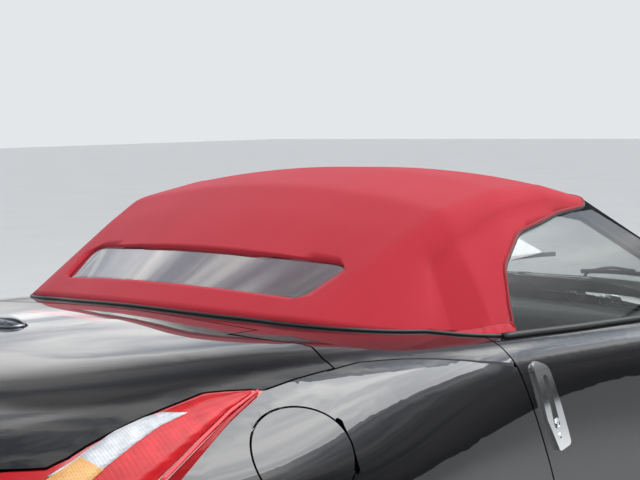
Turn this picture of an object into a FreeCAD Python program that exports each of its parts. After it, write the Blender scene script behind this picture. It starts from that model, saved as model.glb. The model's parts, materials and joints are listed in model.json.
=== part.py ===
# A two-seat convertible car with a fabric top, as an assembly of separate panels, lamps,
# glass, seats, running gear and wheels. Millimetres, +X forward, +Y to the car's left, +Z up.
# The origin is on the ground under the middle of the car.
import FreeCAD, Part

import math
import os

V = FreeCAD.Vector
doc = FreeCAD.newDocument("Convertible")

# Driving dimensions
sheet = doc.addObject("Spreadsheet::Sheet", "Sizes")
SIZES = {
    "wheelbase": 2550, "front_axle_x": 1297, "front_track": 1540, "rear_track": 1552,
    "tyre_radius": 339, "rim_radius": 241.3, "front_tyre_width": 245, "rear_tyre_width": 275,
    "front_arch_radius": 386, "rear_arch_radius": 378, "front_arch_inner_y": 455, "rear_arch_inner_y": 560,
    "liner": 6,
    "wall": 30, "shut_gap": 5, "panel_clearance": 0.3, "line_width": 4, "line_depth": 9,
    "door_front_x": 470, "door_inner_y": 752, "door_bottom_z": 285,
    "floor_top_z": 195, "floor_thickness": 35, "tunnel_width": 260, "tunnel_height": 200,
    "firewall_x": 560, "bulkhead_x": -735, "bulkhead_thickness": 40,
    "screen_base_x": 700, "screen_base_edge_x": 492, "screen_base_y": 742, "screen_base_z": 930,
    "header_x": 62, "header_edge_x": 2, "header_y": 572, "header_z": 1262, "header_edge_z": 1226,
    "screen_frame_width": 52, "screen_frame_depth": 46, "screen_glass": 6,
    "pivot_x": -640, "pivot_z": 925, "top_thickness": 16, "seal_gap": 1, "rear_glass": 5,
    "engine_length": 620, "engine_width": 520, "engine_height": 520, "engine_x": 900, "engine_z": 245.3,
    "king_offset": 70, "king_radius": 14, "disc_radius": 165, "disc_width": 28,
    "flap_x": -1422, "flap_y": -879, "flap_z": 812, "flap_half_length": 127, "flap_half_height": 108,
    "flap_thickness": 7, "flap_pin_depth": 8,
    "steering_x": 130, "steering_y": 385, "steering_z": 845, "steering_radius": 182, "steering_grip": 15,
    "steering_tilt": 24, "seat_y": 388, "seat_width": 500,
    "hinge_back": 50, "hinge_y": 835, "pivot_half": 742, "stub_radius": 22,
    "bonnet_hinge_x": 793, "bonnet_hinge_z": 865, "bonnet_edge_radius": 85,
    "boot_hinge_x": -1258, "boot_hinge_z": 940, "boot_low_z": 856, "lamp_low_z": 740,
    "lid_hinge_y": 600, "lid_swing": 85,
    "exhaust_y": 520, "exhaust_z": 280, "exhaust_radius": 55, "exhaust_wall": 3,
}
for row, (name, value) in enumerate(SIZES.items(), start=1):
    sheet.set(f"A{row}", name)
    sheet.set(f"B{row}", str(value))
    sheet.setAlias(f"B{row}", name)
doc.recompute()


class Sizes:
    """Reads a driving dimension from the sheet by its name."""

    def __getattr__(self, name):
        return float(getattr(sheet, name))


D = Sizes()
rear_axle_x = D.front_axle_x - D.wheelbase
front_wheel_y = D.front_track / 2
rear_wheel_y = D.rear_track / 2

# The outer skin's sections. Half-widths and heights, with one row for each station along the car:
# x, foot y, foot z, side y, side z, upper y, upper z, shoulder y, shoulder z, top z
SECTIONS = (
    (2123, 300, 250, 380, 430, 330, 560, 250, 600, 615),
    (2085, 540, 225, 600, 440, 540, 585, 430, 640, 665),
    (2000, 680, 200, 745, 460, 690, 620, 560, 690, 720),
    (1850, 770, 175, 830, 500, 790, 680, 640, 748, 775),
    (1650, 800, 165, 880, 560, 845, 735, 660, 805, 820),
    (1297, 800, 160, 907, 620, 868, 790, 690, 858, 868),
    (950, 800, 160, 898, 620, 862, 800, 700, 880, 905),
    (560, 795, 160, 880, 600, 850, 810, 700, 905, 945),
    (100, 795, 160, 872, 590, 848, 810, 745, 925, 955),
    (-350, 800, 160, 872, 590, 850, 820, 755, 940, 975),
    (-700, 805, 162, 885, 610, 858, 838, 750, 955, 995),
    (-1253, 800, 170, 921, 650, 875, 830, 720, 962, 1015),
    (-1600, 760, 185, 905, 670, 850, 830, 670, 950, 1008),
    (-1900, 690, 215, 835, 680, 770, 835, 590, 925, 985),
    (-2040, 600, 240, 745, 670, 670, 820, 500, 890, 950),
    (-2123, 380, 300, 480, 600, 420, 700, 320, 745, 765),
)


def section_wire(row, inset, x):
    """One closed section: a smooth skin from foot over the top to the other foot, and a straight floor."""
    _, foot_y, foot_z, side_y, side_z, upper_y, upper_z, shoulder_y, shoulder_z, top_z = row
    half = [
        (foot_y - inset, foot_z + inset),
        ((foot_y + side_y) / 2 + (side_y - foot_y) * 0.28 - inset, (foot_z + side_z) / 2),
        (side_y - inset, side_z),
        (upper_y - inset * 0.95, upper_z - inset * 0.3),
        (shoulder_y - inset * 0.4, shoulder_z - inset * 0.9),
        (shoulder_y * 0.52, shoulder_z + (top_z - shoulder_z) * 0.74 - inset),
        (0.0, top_z - inset),
    ]
    points = [V(x, -y, z) for y, z in half] + [V(x, y, z) for y, z in reversed(half[:-1])]
    count = len(points)
    curve = Part.BSplineCurve()
    curve.interpolate(Points=points, Parameters=[i / (count - 1) for i in range(count)])
    floor = Part.LineSegment(points[-1], points[0])
    return Part.Wire([curve.toShape(), floor.toShape()])


def body_loft(inset):
    """The whole body as one solid, drawn in by the inset on every side."""
    wires = []
    for i, row in enumerate(SECTIONS):
        x = row[0]
        if i == 0:
            x -= inset
        if i == len(SECTIONS) - 1:
            x += inset
        wires.append(section_wire(row, inset, x))
    return Part.makeLoft(wires, True, False)


def polygon_wire(points, plane, level):
    """A closed wire from (a, b) corners; a corner given as (a, b, radius) is rounded by an arc."""
    flat = [tuple(p) + ((0,) if len(p) == 2 else ()) for p in points]
    count = len(flat)
    ends = []
    for i in range(count):
        (pa, pb, _), (a, b, r), (na, nb, _) = flat[i - 1], flat[i], flat[(i + 1) % count]
        if not r:
            ends.append(((a, b), (a, b), None))
            continue
        u = (pa - a, pb - b)
        w = (na - a, nb - b)
        lu, lw = math.hypot(*u), math.hypot(*w)
        u = (u[0] / lu, u[1] / lu)
        w = (w[0] / lw, w[1] / lw)
        half_angle = math.acos(max(-1, min(1, u[0] * w[0] + u[1] * w[1]))) / 2
        back = min(r / math.tan(half_angle), 0.49 * lu, 0.49 * lw)
        radius = back * math.tan(half_angle)
        bis = (u[0] + w[0], u[1] + w[1])
        lb = math.hypot(*bis)
        bis = (bis[0] / lb, bis[1] / lb)
        away = radius / math.sin(half_angle) - radius
        ends.append((
            (a + u[0] * back, b + u[1] * back),
            (a + w[0] * back, b + w[1] * back),
            (a + bis[0] * away, b + bis[1] * away),
        ))
    place = {
        "xy": lambda p: V(p[0], p[1], level),
        "xz": lambda p: V(p[0], level, p[1]),
        "yz": lambda p: V(level, p[0], p[1]),
    }[plane]
    edges = []
    for i in range(count):
        start, end, mid = ends[i]
        if mid:
            edges.append(Part.Arc(place(start), place(mid), place(end)).toShape())
        nxt = ends[(i + 1) % count][0]
        if math.hypot(nxt[0] - end[0], nxt[1] - end[1]) > 1e-6:
            edges.append(Part.LineSegment(place(end), place(nxt)).toShape())
    return Part.Wire(edges)


def prism(points, plane, low, high, grow=0.0):
    """A straight-sided solid on an outline in the named plane, from low to high along the third axis."""
    face = Part.Face(polygon_wire(points, plane, low))
    if grow:
        face = face.makeOffset2D(grow, 2, False, False, False)
        if face.ShapeType != "Face":
            face = face.Faces[0]
    direction = {"xy": V(0, 0, high - low), "xz": V(0, high - low, 0), "yz": V(high - low, 0, 0)}[plane]
    return face.extrude(direction)


def mirrored(shape):
    """The same shape on the other side of the car."""
    return shape.mirror(V(0, 0, 0), V(0, 1, 0))


def both(shape):
    """A shape and its mirror image as one compound."""
    return Part.makeCompound([shape, mirrored(shape)])


def solid_loft(wires, ruled=True):
    """A closed loft whose faces point outward."""
    shape = Part.makeLoft(list(wires), True, ruled)
    if shape.Volume < 0:
        shape = shape.reversed()
    return shape


def box(x0, x1, y0, y1, z0, z1):
    return Part.makeBox(x1 - x0, y1 - y0, z1 - z0, V(x0, y0, z0))


def solids(name, shape):
    """The shape's solids, without slivers, as one shape."""
    kept = [s for s in shape.Solids if s.Volume > 2000]
    if not kept:
        raise ValueError(f"nothing is left of {name}")
    return kept[0] if len(kept) == 1 else Part.makeCompound(kept)


NODES = []


def add(name, shape):
    """Makes a sub-part of the document from a shape that is worked out from the sheet's sizes."""
    piece = doc.addObject("Part::Feature", name)
    piece.Label = name
    piece.Shape = shape
    NODES.append(piece)
    return piece


outer = body_loft(0).common(box(-2123, 2123, -1200, 1200, 0, 1200))
inner = body_loft(D.wall)
shell = outer.cut(inner)

# Wheel arches
ARCHES = (
    # axle x, arch radius, inner y, opening's half-length in the liner's side wall, its top z
    (D.front_axle_x, D.front_arch_radius, D.front_arch_inner_y, 150, 520),
    (rear_axle_x, D.rear_arch_radius, D.rear_arch_inner_y, 130, 430),
)
liners = []
for axle_x, arch_radius, arch_inner_y, slot_half, slot_top in ARCHES:
    arch = Part.makeCylinder(arch_radius, 2400, V(axle_x, -1200, D.tyre_radius), V(0, 1, 0))
    arch = arch.cut(box(axle_x - 500, axle_x + 500, -arch_inner_y, arch_inner_y, -200, 900))
    shell = shell.cut(arch)
    depth = 1000 - arch_inner_y
    start = V(axle_x, arch_inner_y, D.tyre_radius)
    liner = Part.makeCylinder(arch_radius + D.liner, depth, start, V(0, 1, 0))
    liner = liner.cut(Part.makeCylinder(arch_radius, depth, start + V(0, D.liner, 0), V(0, 1, 0)))
    liner = liner.cut(box(axle_x - 600, axle_x + 600, 0, 1200, -200, D.floor_top_z + 42))
    liner = liner.cut(box(axle_x - slot_half, axle_x + slot_half, 0, arch_inner_y + 20, 0, slot_top))
    liners.append(liner.common(body_loft(D.wall + D.panel_clearance)))

# Door outlines, seen from the side
DOOR = [
    (D.door_front_x, D.door_bottom_z, 60), (D.door_front_x + 12, 620), (D.door_front_x + 10, 1100),
    (-700, 1100), (-690, 920), (-652, 800), (-549, 500), (-520, D.door_bottom_z, 90),
]
door_region = prism(DOOR, "xz", D.door_inner_y, 1100)
door_gap = prism(DOOR, "xz", D.door_inner_y - D.shut_gap, 1100, D.shut_gap)
door_panel = outer.common(door_region)
shell = shell.cut(both(door_gap))
door_depth = prism(DOOR, "xz", D.door_inner_y - D.shut_gap, 1100, 2 * D.shut_gap).common(body_loft(8))
shell = shell.cut(both(door_depth))

# Cabin opening in the deck, between the doors
CABIN = [
    (560, -690), (500, -760), (-690, -760), (-740, -640, 120), (-900, 0), (-740, 640, 120), (-690, 760), (500, 760),
    (560, 690),
]
shell = shell.cut(prism(CABIN, "xy", 860, 1100))



def swing_edge(hinge_x, hinge_z, radius, forward):
    """Regions for a lid and for its hole: an arc round the hinge line, and all that lies beyond it."""
    regions = []
    for reach in (radius, radius + D.shut_gap):
        drum = Part.makeCylinder(reach, 2000, V(hinge_x, -1000, hinge_z), V(0, 1, 0))
        start = hinge_x if forward > 0 else hinge_x - 2000
        far = box(start, start + 2000, -1000, 1000, 0, 1200)
        regions.append(far.fuse(drum))
    return regions


# Bonnet
BONNET = [
    (1985, 0), (1950, -330, 300), (1800, -560, 200), (1500, -640, 400), (660, -690, 60), (620, 0), (660, 690, 60),
    (1500, 640, 400), (1800, 560, 200), (1950, 330, 300),
]
bonnet_edge = swing_edge(D.bonnet_hinge_x, D.bonnet_hinge_z, D.bonnet_edge_radius, 1)
bonnet = shell.common(prism(BONNET, "xy", 640, 1000)).common(bonnet_edge[0])
shell = shell.cut(prism(BONNET, "xy", 640, 1000, D.shut_gap).common(bonnet_edge[1]))

# Boot lid: its front edge turns about the hinge line, at a radius that changes across the car
BOOT_SIDE = [
    (-1100, -764), (-1327, -759), (-1418, -761, 30), (-1446, -750), (-1498, -733), (-1546, -719, 60), (-1594, -722),
    (-1715, -727), (-1811, -732), (-1890, -733), (-1944, -723), (-2300, -723),
]
BOOT = BOOT_SIDE + [(p[0], -p[1]) + tuple(p[2:]) for p in reversed(BOOT_SIDE)]
BOOT_FRONT = (
    # y, radius round the hinge line
    (0, 118), (470, 118), (470, 58), (526, 58), (590, 66), (640, 87), (665, 87), (726, 52), (800, 30),
)


def boot_side_region(gap):
    """All that lies behind the boot lid's front edge, which is a surface of revolution round the hinge line."""
    half = [(y + (gap if y == 470 else 0), D.boot_hinge_z + radius + gap) for y, radius in BOOT_FRONT]
    line = [(800, D.boot_hinge_z)] + [p for p in reversed(half)][:-1]
    line = line + [(-y, z) for y, z in reversed(line)]
    drum = Part.Face(Part.makePolygon([V(D.boot_hinge_x, y, z) for y, z in line + line[:1]]))
    drum = drum.revolve(V(D.boot_hinge_x, 0, D.boot_hinge_z), V(0, 1, 0), 360)
    return box(D.boot_hinge_x - 2000, D.boot_hinge_x, -1000, 1000, 0, 1200).fuse(drum)


boot_lid = shell.common(prism(BOOT, "xy", D.boot_low_z, 1100)).common(boot_side_region(0))
boot_hole = prism(BOOT, "xy", D.boot_low_z - D.shut_gap, 1100, D.shut_gap)
shell = shell.cut(boot_hole.common(boot_side_region(D.shut_gap)))

# Tail lamps: swept-back triangles that wrap the corners, under the boot lid's edge and down to the bumper
LAMP_TOP = [(-1405, -766), (-1500, -715), (-1950, -700), (-2200, -590), (-2200, -1100), (-1405, -1100)]
LAMP_SIDE = [
    (-1400, 941), (-1431, 925), (-1514, 900), (-1599, 872), (-1677, 847), (-1712, 828, 40), (-1745, 780, 60),
    (-1752, D.lamp_low_z), (-2200, D.lamp_low_z), (-2200, 1000), (-1400, 1000),
]
lamp_region = prism(LAMP_TOP, "xy", 700, 1000).common(prism(LAMP_SIDE, "xz", -1100, -500))
tail_lamp = shell.common(lamp_region)
shell = shell.cut(both(lamp_region))

# Headlamps
HEADLAMP = [(2050, -400, 20), (1960, -640, 60), (1600, -760, 30), (1530, -700, 20), (1540, -640)]
head_region = prism(HEADLAMP, "xy", 590, 900)
head_lamp = shell.common(head_region)
shell = shell.cut(both(head_region))

# Fuel flap, on the right rear fender
flap_axis = V(0, -0.8211, 0.5708)
flap_line = V(0, 0.5708, 0.8211)
flap_middle = V(D.flap_x, D.flap_y, D.flap_z)


def flap_prism(grow):
    """A straight oval rod through the fender, along the flap's axis."""
    start = flap_middle - flap_axis * 200
    wide = start + V(D.flap_half_length + grow, 0, 0)
    high = start + flap_line * (D.flap_half_height + grow)
    oval = Part.Ellipse(wide, high, start)
    return Part.Face(Part.Wire(oval.toShape())).extrude(flap_axis * 400)


flap_rod = flap_prism(0)
flap_hole = flap_prism(D.shut_gap)
flap_skin = outer.cut(body_loft(D.flap_thickness))
fuel_flap = flap_skin.common(flap_rod)
shell = shell.cut(flap_hole.common(outer).cut(body_loft(22)))

# Its hinge: a pin across the front of the recess, along the skin there, with the flap's lug on it


def flap_face(along):
    """The point of the skin over the hinge, at a distance along it."""
    start = flap_middle + V(D.flap_half_length - 7, 0, 0) + flap_line * along
    ray = Part.makeLine(start - flap_axis * 80, start + flap_axis * 80).common(outer)
    return max((v.Point for v in ray.Vertexes), key=lambda p: p.dot(flap_axis))


pin_line = (flap_face(40) - flap_face(-40)).normalize()
pin_out = V(1, 0, 0).cross(pin_line)
flap_pin_at = (flap_face(40) + flap_face(-40)) / 2 - pin_out * D.flap_pin_depth
SWING = [(-60, 6), (-52, 12.5), (-40, 12.5), (-24, 13.8), (0, 15), (24, 13.8), (40, 12.5), (52, 12.5), (60, 6)]
swing_line = [(-60, 0)] + SWING + [(60, 0)]
swing_face = Part.Face(Part.makePolygon([flap_pin_at + pin_line * k + pin_out * r for k, r in swing_line + swing_line[:1]]))
flap_swing = swing_face.revolve(flap_pin_at, pin_line, 360)
flap_pin = Part.makeCylinder(3, 44, flap_pin_at - pin_line * 22, pin_line)
post_way = V(-0.643, 0, 0) - pin_out * 0.766
flap_posts = [Part.makeCylinder(3, 28, flap_pin_at + pin_line * k, post_way) for k in (-19, 19)]
flap_relief = [Part.makeCylinder(5.5, 11, flap_pin_at + pin_line * k, pin_line) for k in (-24.5, 13.5)]
flap_lug = Part.makeCylinder(5.5, 20, flap_pin_at - pin_line * 10, pin_line)
flap_bore = Part.makeCylinder(3.1, 40, flap_pin_at - pin_line * 20, pin_line)
shell = shell.cut(flap_swing.common(outer))
shell = shell.fuse([flap_pin] + flap_posts)
fuel_flap = fuel_flap.cut(flap_relief[0]).cut(flap_relief[1]).fuse(flap_lug).cut(flap_bore)
print("flap pin at", [round(c, 4) for c in flap_pin_at], "along", [round(c, 6) for c in pin_line])

# Storage lid over the folded top's well
STORAGE_SIDE = [(-690, -838), (-801, -827), (-889, -811), (-1025, -782), (-1139, -763), (-1236, -764)]
STORAGE = STORAGE_SIDE + [(x, -y) for x, y in reversed(STORAGE_SIDE)]
storage_region = prism(STORAGE, "xy", 880, 1100)
storage_lid = shell.common(storage_region)
shell = shell.cut(storage_region)
storage_line = prism(STORAGE, "xy", 880, 1100, D.line_width).cut(body_loft(D.line_depth))
shell = shell.cut(storage_line)

# Bumpers, fenders, sills and rear quarters
front_bumper_region = box(1690, 2300, -1100, 1100, 0, 1000)
front_bumper = shell.common(front_bumper_region)
shell = shell.cut(front_bumper_region)
rear_bumper_region = box(-2300, -1660, -1100, 1100, 0, D.lamp_low_z)
rear_bumper_region = rear_bumper_region.fuse(box(-2300, -1800, -1100, 1100, 700, 1000))
rear_bumper = shell.common(rear_bumper_region)
shell = shell.cut(rear_bumper_region)
floor_region = box(-2300, 2300, -780, 780, 0, 230)
floor_skin = shell.common(floor_region)
shell = shell.cut(floor_region)
sill_region = box(-960, 930, -1100, 1100, 0, D.door_bottom_z - D.shut_gap + 0.1)
sills = shell.common(sill_region)
shell = shell.cut(sill_region)
front_fenders = shell.common(box(450, 1700, -1100, 1100, 0, 1000))
rear_quarters = shell.common(box(-2000, 450, -1100, 1100, 0, 1000))

# Floor, tunnel, firewall and bulkhead
cabin_floor = box(-870, 900, -700, 700, D.floor_top_z - 5, D.floor_top_z + D.floor_thickness)
cabin_floor = cabin_floor.common(body_loft(D.wall + D.panel_clearance))
tunnel_half = D.tunnel_width / 2
tunnel_top_z = D.floor_top_z + D.tunnel_height
tunnel = box(D.bulkhead_x - 20, D.firewall_x - 20, -tunnel_half, tunnel_half, D.floor_top_z, tunnel_top_z)
firewall = box(D.firewall_x - 40, D.firewall_x, -640, 640, D.floor_top_z, 870)
bulkhead = box(D.bulkhead_x - D.bulkhead_thickness, D.bulkhead_x, -700, 700, D.floor_top_z, 900)
underbody = cabin_floor.fuse([tunnel, firewall, bulkhead])

# Door hinge posts: the pillar ahead of each door, with two hinge eyes that reach into the door's pockets
HINGE_HEIGHTS = (430, 700)
hinge_x = D.door_front_x - D.hinge_back
hinge_y = D.hinge_y
door_reach = math.hypot(D.hinge_back, 878 - hinge_y)
post = box(D.door_front_x + 12, D.door_front_x + 90, 630, hinge_y - 104, D.floor_top_z + 10, 900)
for hinge_z in HINGE_HEIGHTS:
    strap = prism([
        (hinge_x - 7, hinge_y - 4), (hinge_x + 7, hinge_y + 4), (hinge_x + 72, hinge_y - 108), (hinge_x + 72, hinge_y - 120),
        (hinge_x + 60, hinge_y - 120)], "xy", hinge_z - 9, hinge_z + 9)
    eye = Part.makeCylinder(13, 18, V(hinge_x, hinge_y, hinge_z - 9))
    bore = Part.makeCylinder(6 + D.panel_clearance, 40, V(hinge_x, hinge_y, hinge_z - 20))
    post = post.fuse([strap, eye]).cut(bore)
    pocket = prism([
        (hinge_x - 20, hinge_y + 20), (hinge_x - 20, hinge_y - 22), (hinge_x + 20, hinge_y - 95), (hinge_x + 70, hinge_y - 95),
        (hinge_x + 70, hinge_y + 20)], "xy", hinge_z - 16, hinge_z + 16)
    pin = Part.makeCylinder(6, 36, V(hinge_x, hinge_y, hinge_z - 18))
    door_panel = door_panel.cut(pocket).fuse(pin)

# The doors' leading edges are arcs round the hinge line, and the fenders' rear edges clear them
ahead = box(hinge_x, hinge_x + 400, hinge_y, 1100, 0, 1200)
door_panel = door_panel.cut(ahead.cut(Part.makeCylinder(door_reach, 1200, V(hinge_x, hinge_y, 0))))
swing = Part.makeCylinder(door_reach + D.shut_gap, 700, V(hinge_x, hinge_y, 200))
front_fenders = front_fenders.cut(both(swing))

# Lid hinges: a lug under the lid on a pin that a bracket of the body holds
for lid_hinge_x, lid_hinge_z, way in (
    (D.bonnet_hinge_x, D.bonnet_hinge_z, -1),
    (D.boot_hinge_x, D.boot_hinge_z, 1),
):
    low, high = D.lid_hinge_y, D.lid_hinge_y + 52
    reach = D.lid_swing + 12
    foot_x = lid_hinge_x + way * (reach + 24) if way > 0 else D.door_front_x + 60
    bracket = prism([
        (lid_hinge_x - way * 12, lid_hinge_z), (lid_hinge_x + way * 12, lid_hinge_z), (lid_hinge_x + way * 12, lid_hinge_z - reach),
        (foot_x, lid_hinge_z - reach), (foot_x, lid_hinge_z - reach - 26), (lid_hinge_x - way * 12, lid_hinge_z - reach - 26),
    ], "xz", high - 14, high)
    if way > 0:
        bracket = bracket.fuse(box(foot_x - 26, foot_x, high - 14, high, lid_hinge_z - reach - 26, lid_hinge_z + 20))
    bracket = bracket.fuse(Part.makeCylinder(12, 14, V(lid_hinge_x, high - 14, lid_hinge_z), V(0, 1, 0)))
    bracket = bracket.fuse(Part.makeCylinder(7, 60, V(lid_hinge_x, low - 8, lid_hinge_z), V(0, 1, 0)))
    relief = Part.makeCylinder(19, 30, V(lid_hinge_x, high - 22, lid_hinge_z), V(0, 1, 0))
    relief = relief.fuse(Part.makeCylinder(13, 100, V(lid_hinge_x, low - 14, lid_hinge_z), V(0, 1, 0)))
    lug = box(lid_hinge_x - 15, lid_hinge_x + 15, low, low + 22, lid_hinge_z, lid_hinge_z + 34)
    lug = lug.fuse(Part.makeCylinder(15, 22, V(lid_hinge_x, low, lid_hinge_z), V(0, 1, 0)))
    lug = lug.common(body_loft(4))
    bore = Part.makeCylinder(7 + D.panel_clearance, 80, V(lid_hinge_x, low - 20, lid_hinge_z), V(0, 1, 0))
    if way < 0:
        bonnet = bonnet.cut(both(relief)).fuse([lug, mirrored(lug)]).cut(both(bore))
        post = post.fuse(bracket)
    else:
        boot_lid = boot_lid.cut(both(relief)).fuse([lug, mirrored(lug)]).cut(both(bore))
        storage_lid = storage_lid.fuse([bracket, mirrored(bracket)])
post = post.cut(body_loft(0).cut(body_loft(D.wall + D.panel_clearance)))
underbody = underbody.fuse([post, mirrored(post)])

# Windscreen frame and glass, as slabs between the arc at the scuttle and the arc at the header
slope = V(D.header_x - D.screen_base_x, 0, D.header_z - D.screen_base_z)
normal = V(slope.z, 0, -slope.x).normalize()


def screen_slab(base_half, head_half, over, under, start, end):
    """Part of the raked screen's slab: half-widths at both ends, offsets from its face, and share of its length."""
    arcs = []
    for share in (start, end):
        middle = V(D.screen_base_x, 0, D.screen_base_z) + slope * share
        edge_x = D.screen_base_edge_x + (D.header_edge_x - D.screen_base_edge_x) * share
        edge_z = D.screen_base_z - 6 + (D.header_edge_z - D.screen_base_z + 6) * share
        half = base_half + (head_half - base_half) * share
        full = D.screen_base_y + (D.header_y - D.screen_base_y) * share
        x = middle.x + (edge_x - middle.x) * (half / full) ** 2
        z = middle.z + (edge_z - middle.z) * (half / full) ** 2
        arcs.append(Part.Arc(V(x, -half, z), middle, V(x, half, z)).toShape())
    face = Part.makeRuledSurface(arcs[0], arcs[1])
    face.translate(normal * over)
    slab = face.extrude(normal * (under - over))
    return slab if slab.Volume > 0 else slab.reversed()


frame_slab = screen_slab(D.screen_base_y, D.header_y, 0, -D.screen_frame_depth, 0.0, 1.03)
inner_base = D.screen_base_y - D.screen_frame_width
inner_head = D.header_y - D.screen_frame_width
screen_frame = frame_slab.cut(screen_slab(inner_base, inner_head, 12, -D.screen_frame_depth - 14, 0.045, 0.93))
frame_seat = screen_slab(D.screen_base_y + 1, D.header_y + 1, 60, -D.screen_frame_depth - D.panel_clearance, -0.0005, 0.5)
front_fenders = front_fenders.cut(frame_seat)
underbody = underbody.cut(frame_seat)
glass_base, glass_head = inner_base - D.panel_clearance, inner_head - D.panel_clearance
windscreen = screen_slab(glass_base, glass_head, -4, -4 - D.screen_glass, 0.0454, 0.9296)

# Folding top: fabric over arched bows that fan out from one pivot behind the doors.
# x and z of the arch's top, half-width at its shoulder, drop of its shoulder, corner radius, side bulge
BOWS = {
    "header": (52, 1268, 592, 62, 60, 16),
    "front": (-130, 1318, 598, 60, 75, 15),
    "roof": (-340, 1326, 606, 56, 80, 14),
    "third": (-600, 1290, 616, 48, 85, 10),
    "fourth": (-745, 1222, 606, 44, 90, 6),
    "base": (-1118, 1017, 700, 60, 330, 3),
}


def bow_section(row, inset, near, turn=0.0, reach=0.0):
    """One closed arch in the plane through the pivot line: sides, rounded shoulders and crown."""
    top_x, top_z, half, drop, radius, bulge = row
    radial = V(top_x - D.pivot_x, 0, top_z - D.pivot_z)
    length = radial.Length - inset + reach
    angle = math.atan2(radial.z, radial.x) + math.radians(turn)
    out = V(math.cos(angle), 0, math.sin(angle))
    base = V(D.pivot_x, 0, D.pivot_z)
    half -= inset
    radius = max(radius - inset, 20)
    foot = D.pivot_half - inset

    def at(distance, y):
        return base + out * distance + V(0, y, 0)

    shoulder = length - drop
    side_end = shoulder - radius
    edges = []
    for side in (-1, 1):
        a, c = at(near, side * foot), at(side_end, side * half)
        b = at((near + side_end) / 2, side * ((foot + half) / 2 + bulge))
        d = at(shoulder - radius * 0.293, side * (half - radius * 0.293))
        e = at(shoulder, side * (half - radius))
        side_edge = Part.Arc(a, b, c).toShape() if bulge else Part.LineSegment(a, c).toShape()
        edges.append([side_edge, Part.Arc(c, d, e).toShape(), a, e])
    right, left = edges
    crown = Part.Arc(right[3], at(length, 0), left[3]).toShape()
    close = Part.LineSegment(left[2], right[2]).toShape()
    return Part.Wire([right[0], right[1], crown, left[1], left[0], close])


def fan(over, under):
    """The layer of fabric between two depths under the bows' outline, one piece for each panel between bows."""
    rows = list(BOWS.values())
    skins = [bow_section(r, over, 30) for r in rows]
    holes = [bow_section(r, under, 8) for r in rows]
    holes[0] = bow_section(rows[0], under, 8, turn=-3)
    holes[-1] = bow_section(rows[-1], under, 8, turn=4)
    return [
        solid_loft(skins[i:i + 2]).cut(solid_loft(holes[i:i + 2]))
        for i in range(len(rows) - 1)
    ]


panels = fan(0, D.top_thickness)
soft_top = panels[0].fuse(panels[1:])
SIDE_WINDOW = [
    (180, 1222), (D.header_edge_x - 20, 1219), (-190, 1210), (-400, 1174, 120), (-515, 1100, 90), (-552, 1010, 80),
    (-560, 800), (180, 800),
]
soft_top = soft_top.cut(both(prism(SIDE_WINDOW, "xz", 430, 900)))
soft_top = soft_top.cut(screen_slab(D.screen_base_y + 60, D.header_y + 60, 60, -D.screen_frame_depth - 2, 0.5, 1.033))
soft_top = soft_top.cut(body_loft(-D.seal_gap))

# Rear window, set in the fabric between the fourth bow and the base
fourth, base_bow = BOWS["fourth"], BOWS["base"]
window_up = V(fourth[0] - base_bow[0], 0, fourth[1] - base_bow[1]).normalize()
window_normal = V(-window_up.z, 0, window_up.x)
window_low = V(base_bow[0], 0, base_bow[1])
REAR_WINDOW = [(0.27, 395, 40), (0.27, -395, 40), (0.80, -470, 40), (0.80, 470, 40)]
panel_length = math.hypot(fourth[0] - base_bow[0], fourth[1] - base_bow[1])


def window_prism(grow, over, under):
    """The rear window's outline pushed along the fabric panel's normal."""
    wire = polygon_wire([(share * panel_length, y, r) for share, y, r in REAR_WINDOW], "xy", 0)
    face = Part.Face(wire)
    if grow:
        face = face.makeOffset2D(grow, 2, False, False, False)
        face = face.Faces[0]
    solid = face.extrude(V(0, 0, over - under))
    solid.translate(V(0, 0, under))
    matrix = FreeCAD.Matrix(
        window_up.x, 0, window_normal.x, window_low.x, 0, 1, 0, 0,
        window_up.z, 0, window_normal.z, window_low.z, 0, 0, 0, 1)
    solid.Placement = FreeCAD.Placement(matrix) * solid.Placement
    return solid


soft_top = soft_top.cut(window_prism(D.panel_clearance, 80, -140))
top_mid = fan(5, 5 + D.rear_glass)[-1]
rear_window = top_mid.common(window_prism(0, 80, -140))

# Bows under the fabric
bow_solids = []
for name in ("roof", "third", "fourth"):
    row = BOWS[name]
    radial = V(row[0] - D.pivot_x, 0, row[1] - D.pivot_z)
    across = V(-radial.z, 0, radial.x).normalize()
    ring = Part.Face(bow_section(row, D.top_thickness + 5, 40))
    ring = ring.cut(Part.Face(bow_section(row, D.top_thickness + 26, 10)))
    ring.translate(across * -12)
    bow = ring.extrude(across * 24).cut(box(-2000, 2000, -2000, 2000, 0, 972))
    bow_solids.append(bow.cut(soft_top))
top_frame = bow_solids

# Door glass: a sheet that leans in, drawn round an arc in its height
GLASS_OUTLINE = [
    (-12, 1206), (-190, 1203), (-395, 1167, 110), (-505, 1098, 85), (-545, 1008, 80), (-552, 880), (452, 880), (452, 930),
]
glass_arc = Part.Arc(V(0, 757, 880), V(0, 690, 1055), V(0, 583, 1225)).toShape()
glass_face = glass_arc.extrude(V(1200, 0, 0))
glass_face.translate(V(-650, 0, 0))
glass_sheet = glass_face.makeOffsetShape(5, 0.01, fill=True)
door_glass = glass_sheet.common(prism(GLASS_OUTLINE, "xz", 400, 900))
channel = glass_face.makeOffsetShape(5 + D.panel_clearance, 0.01, fill=True)

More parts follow.
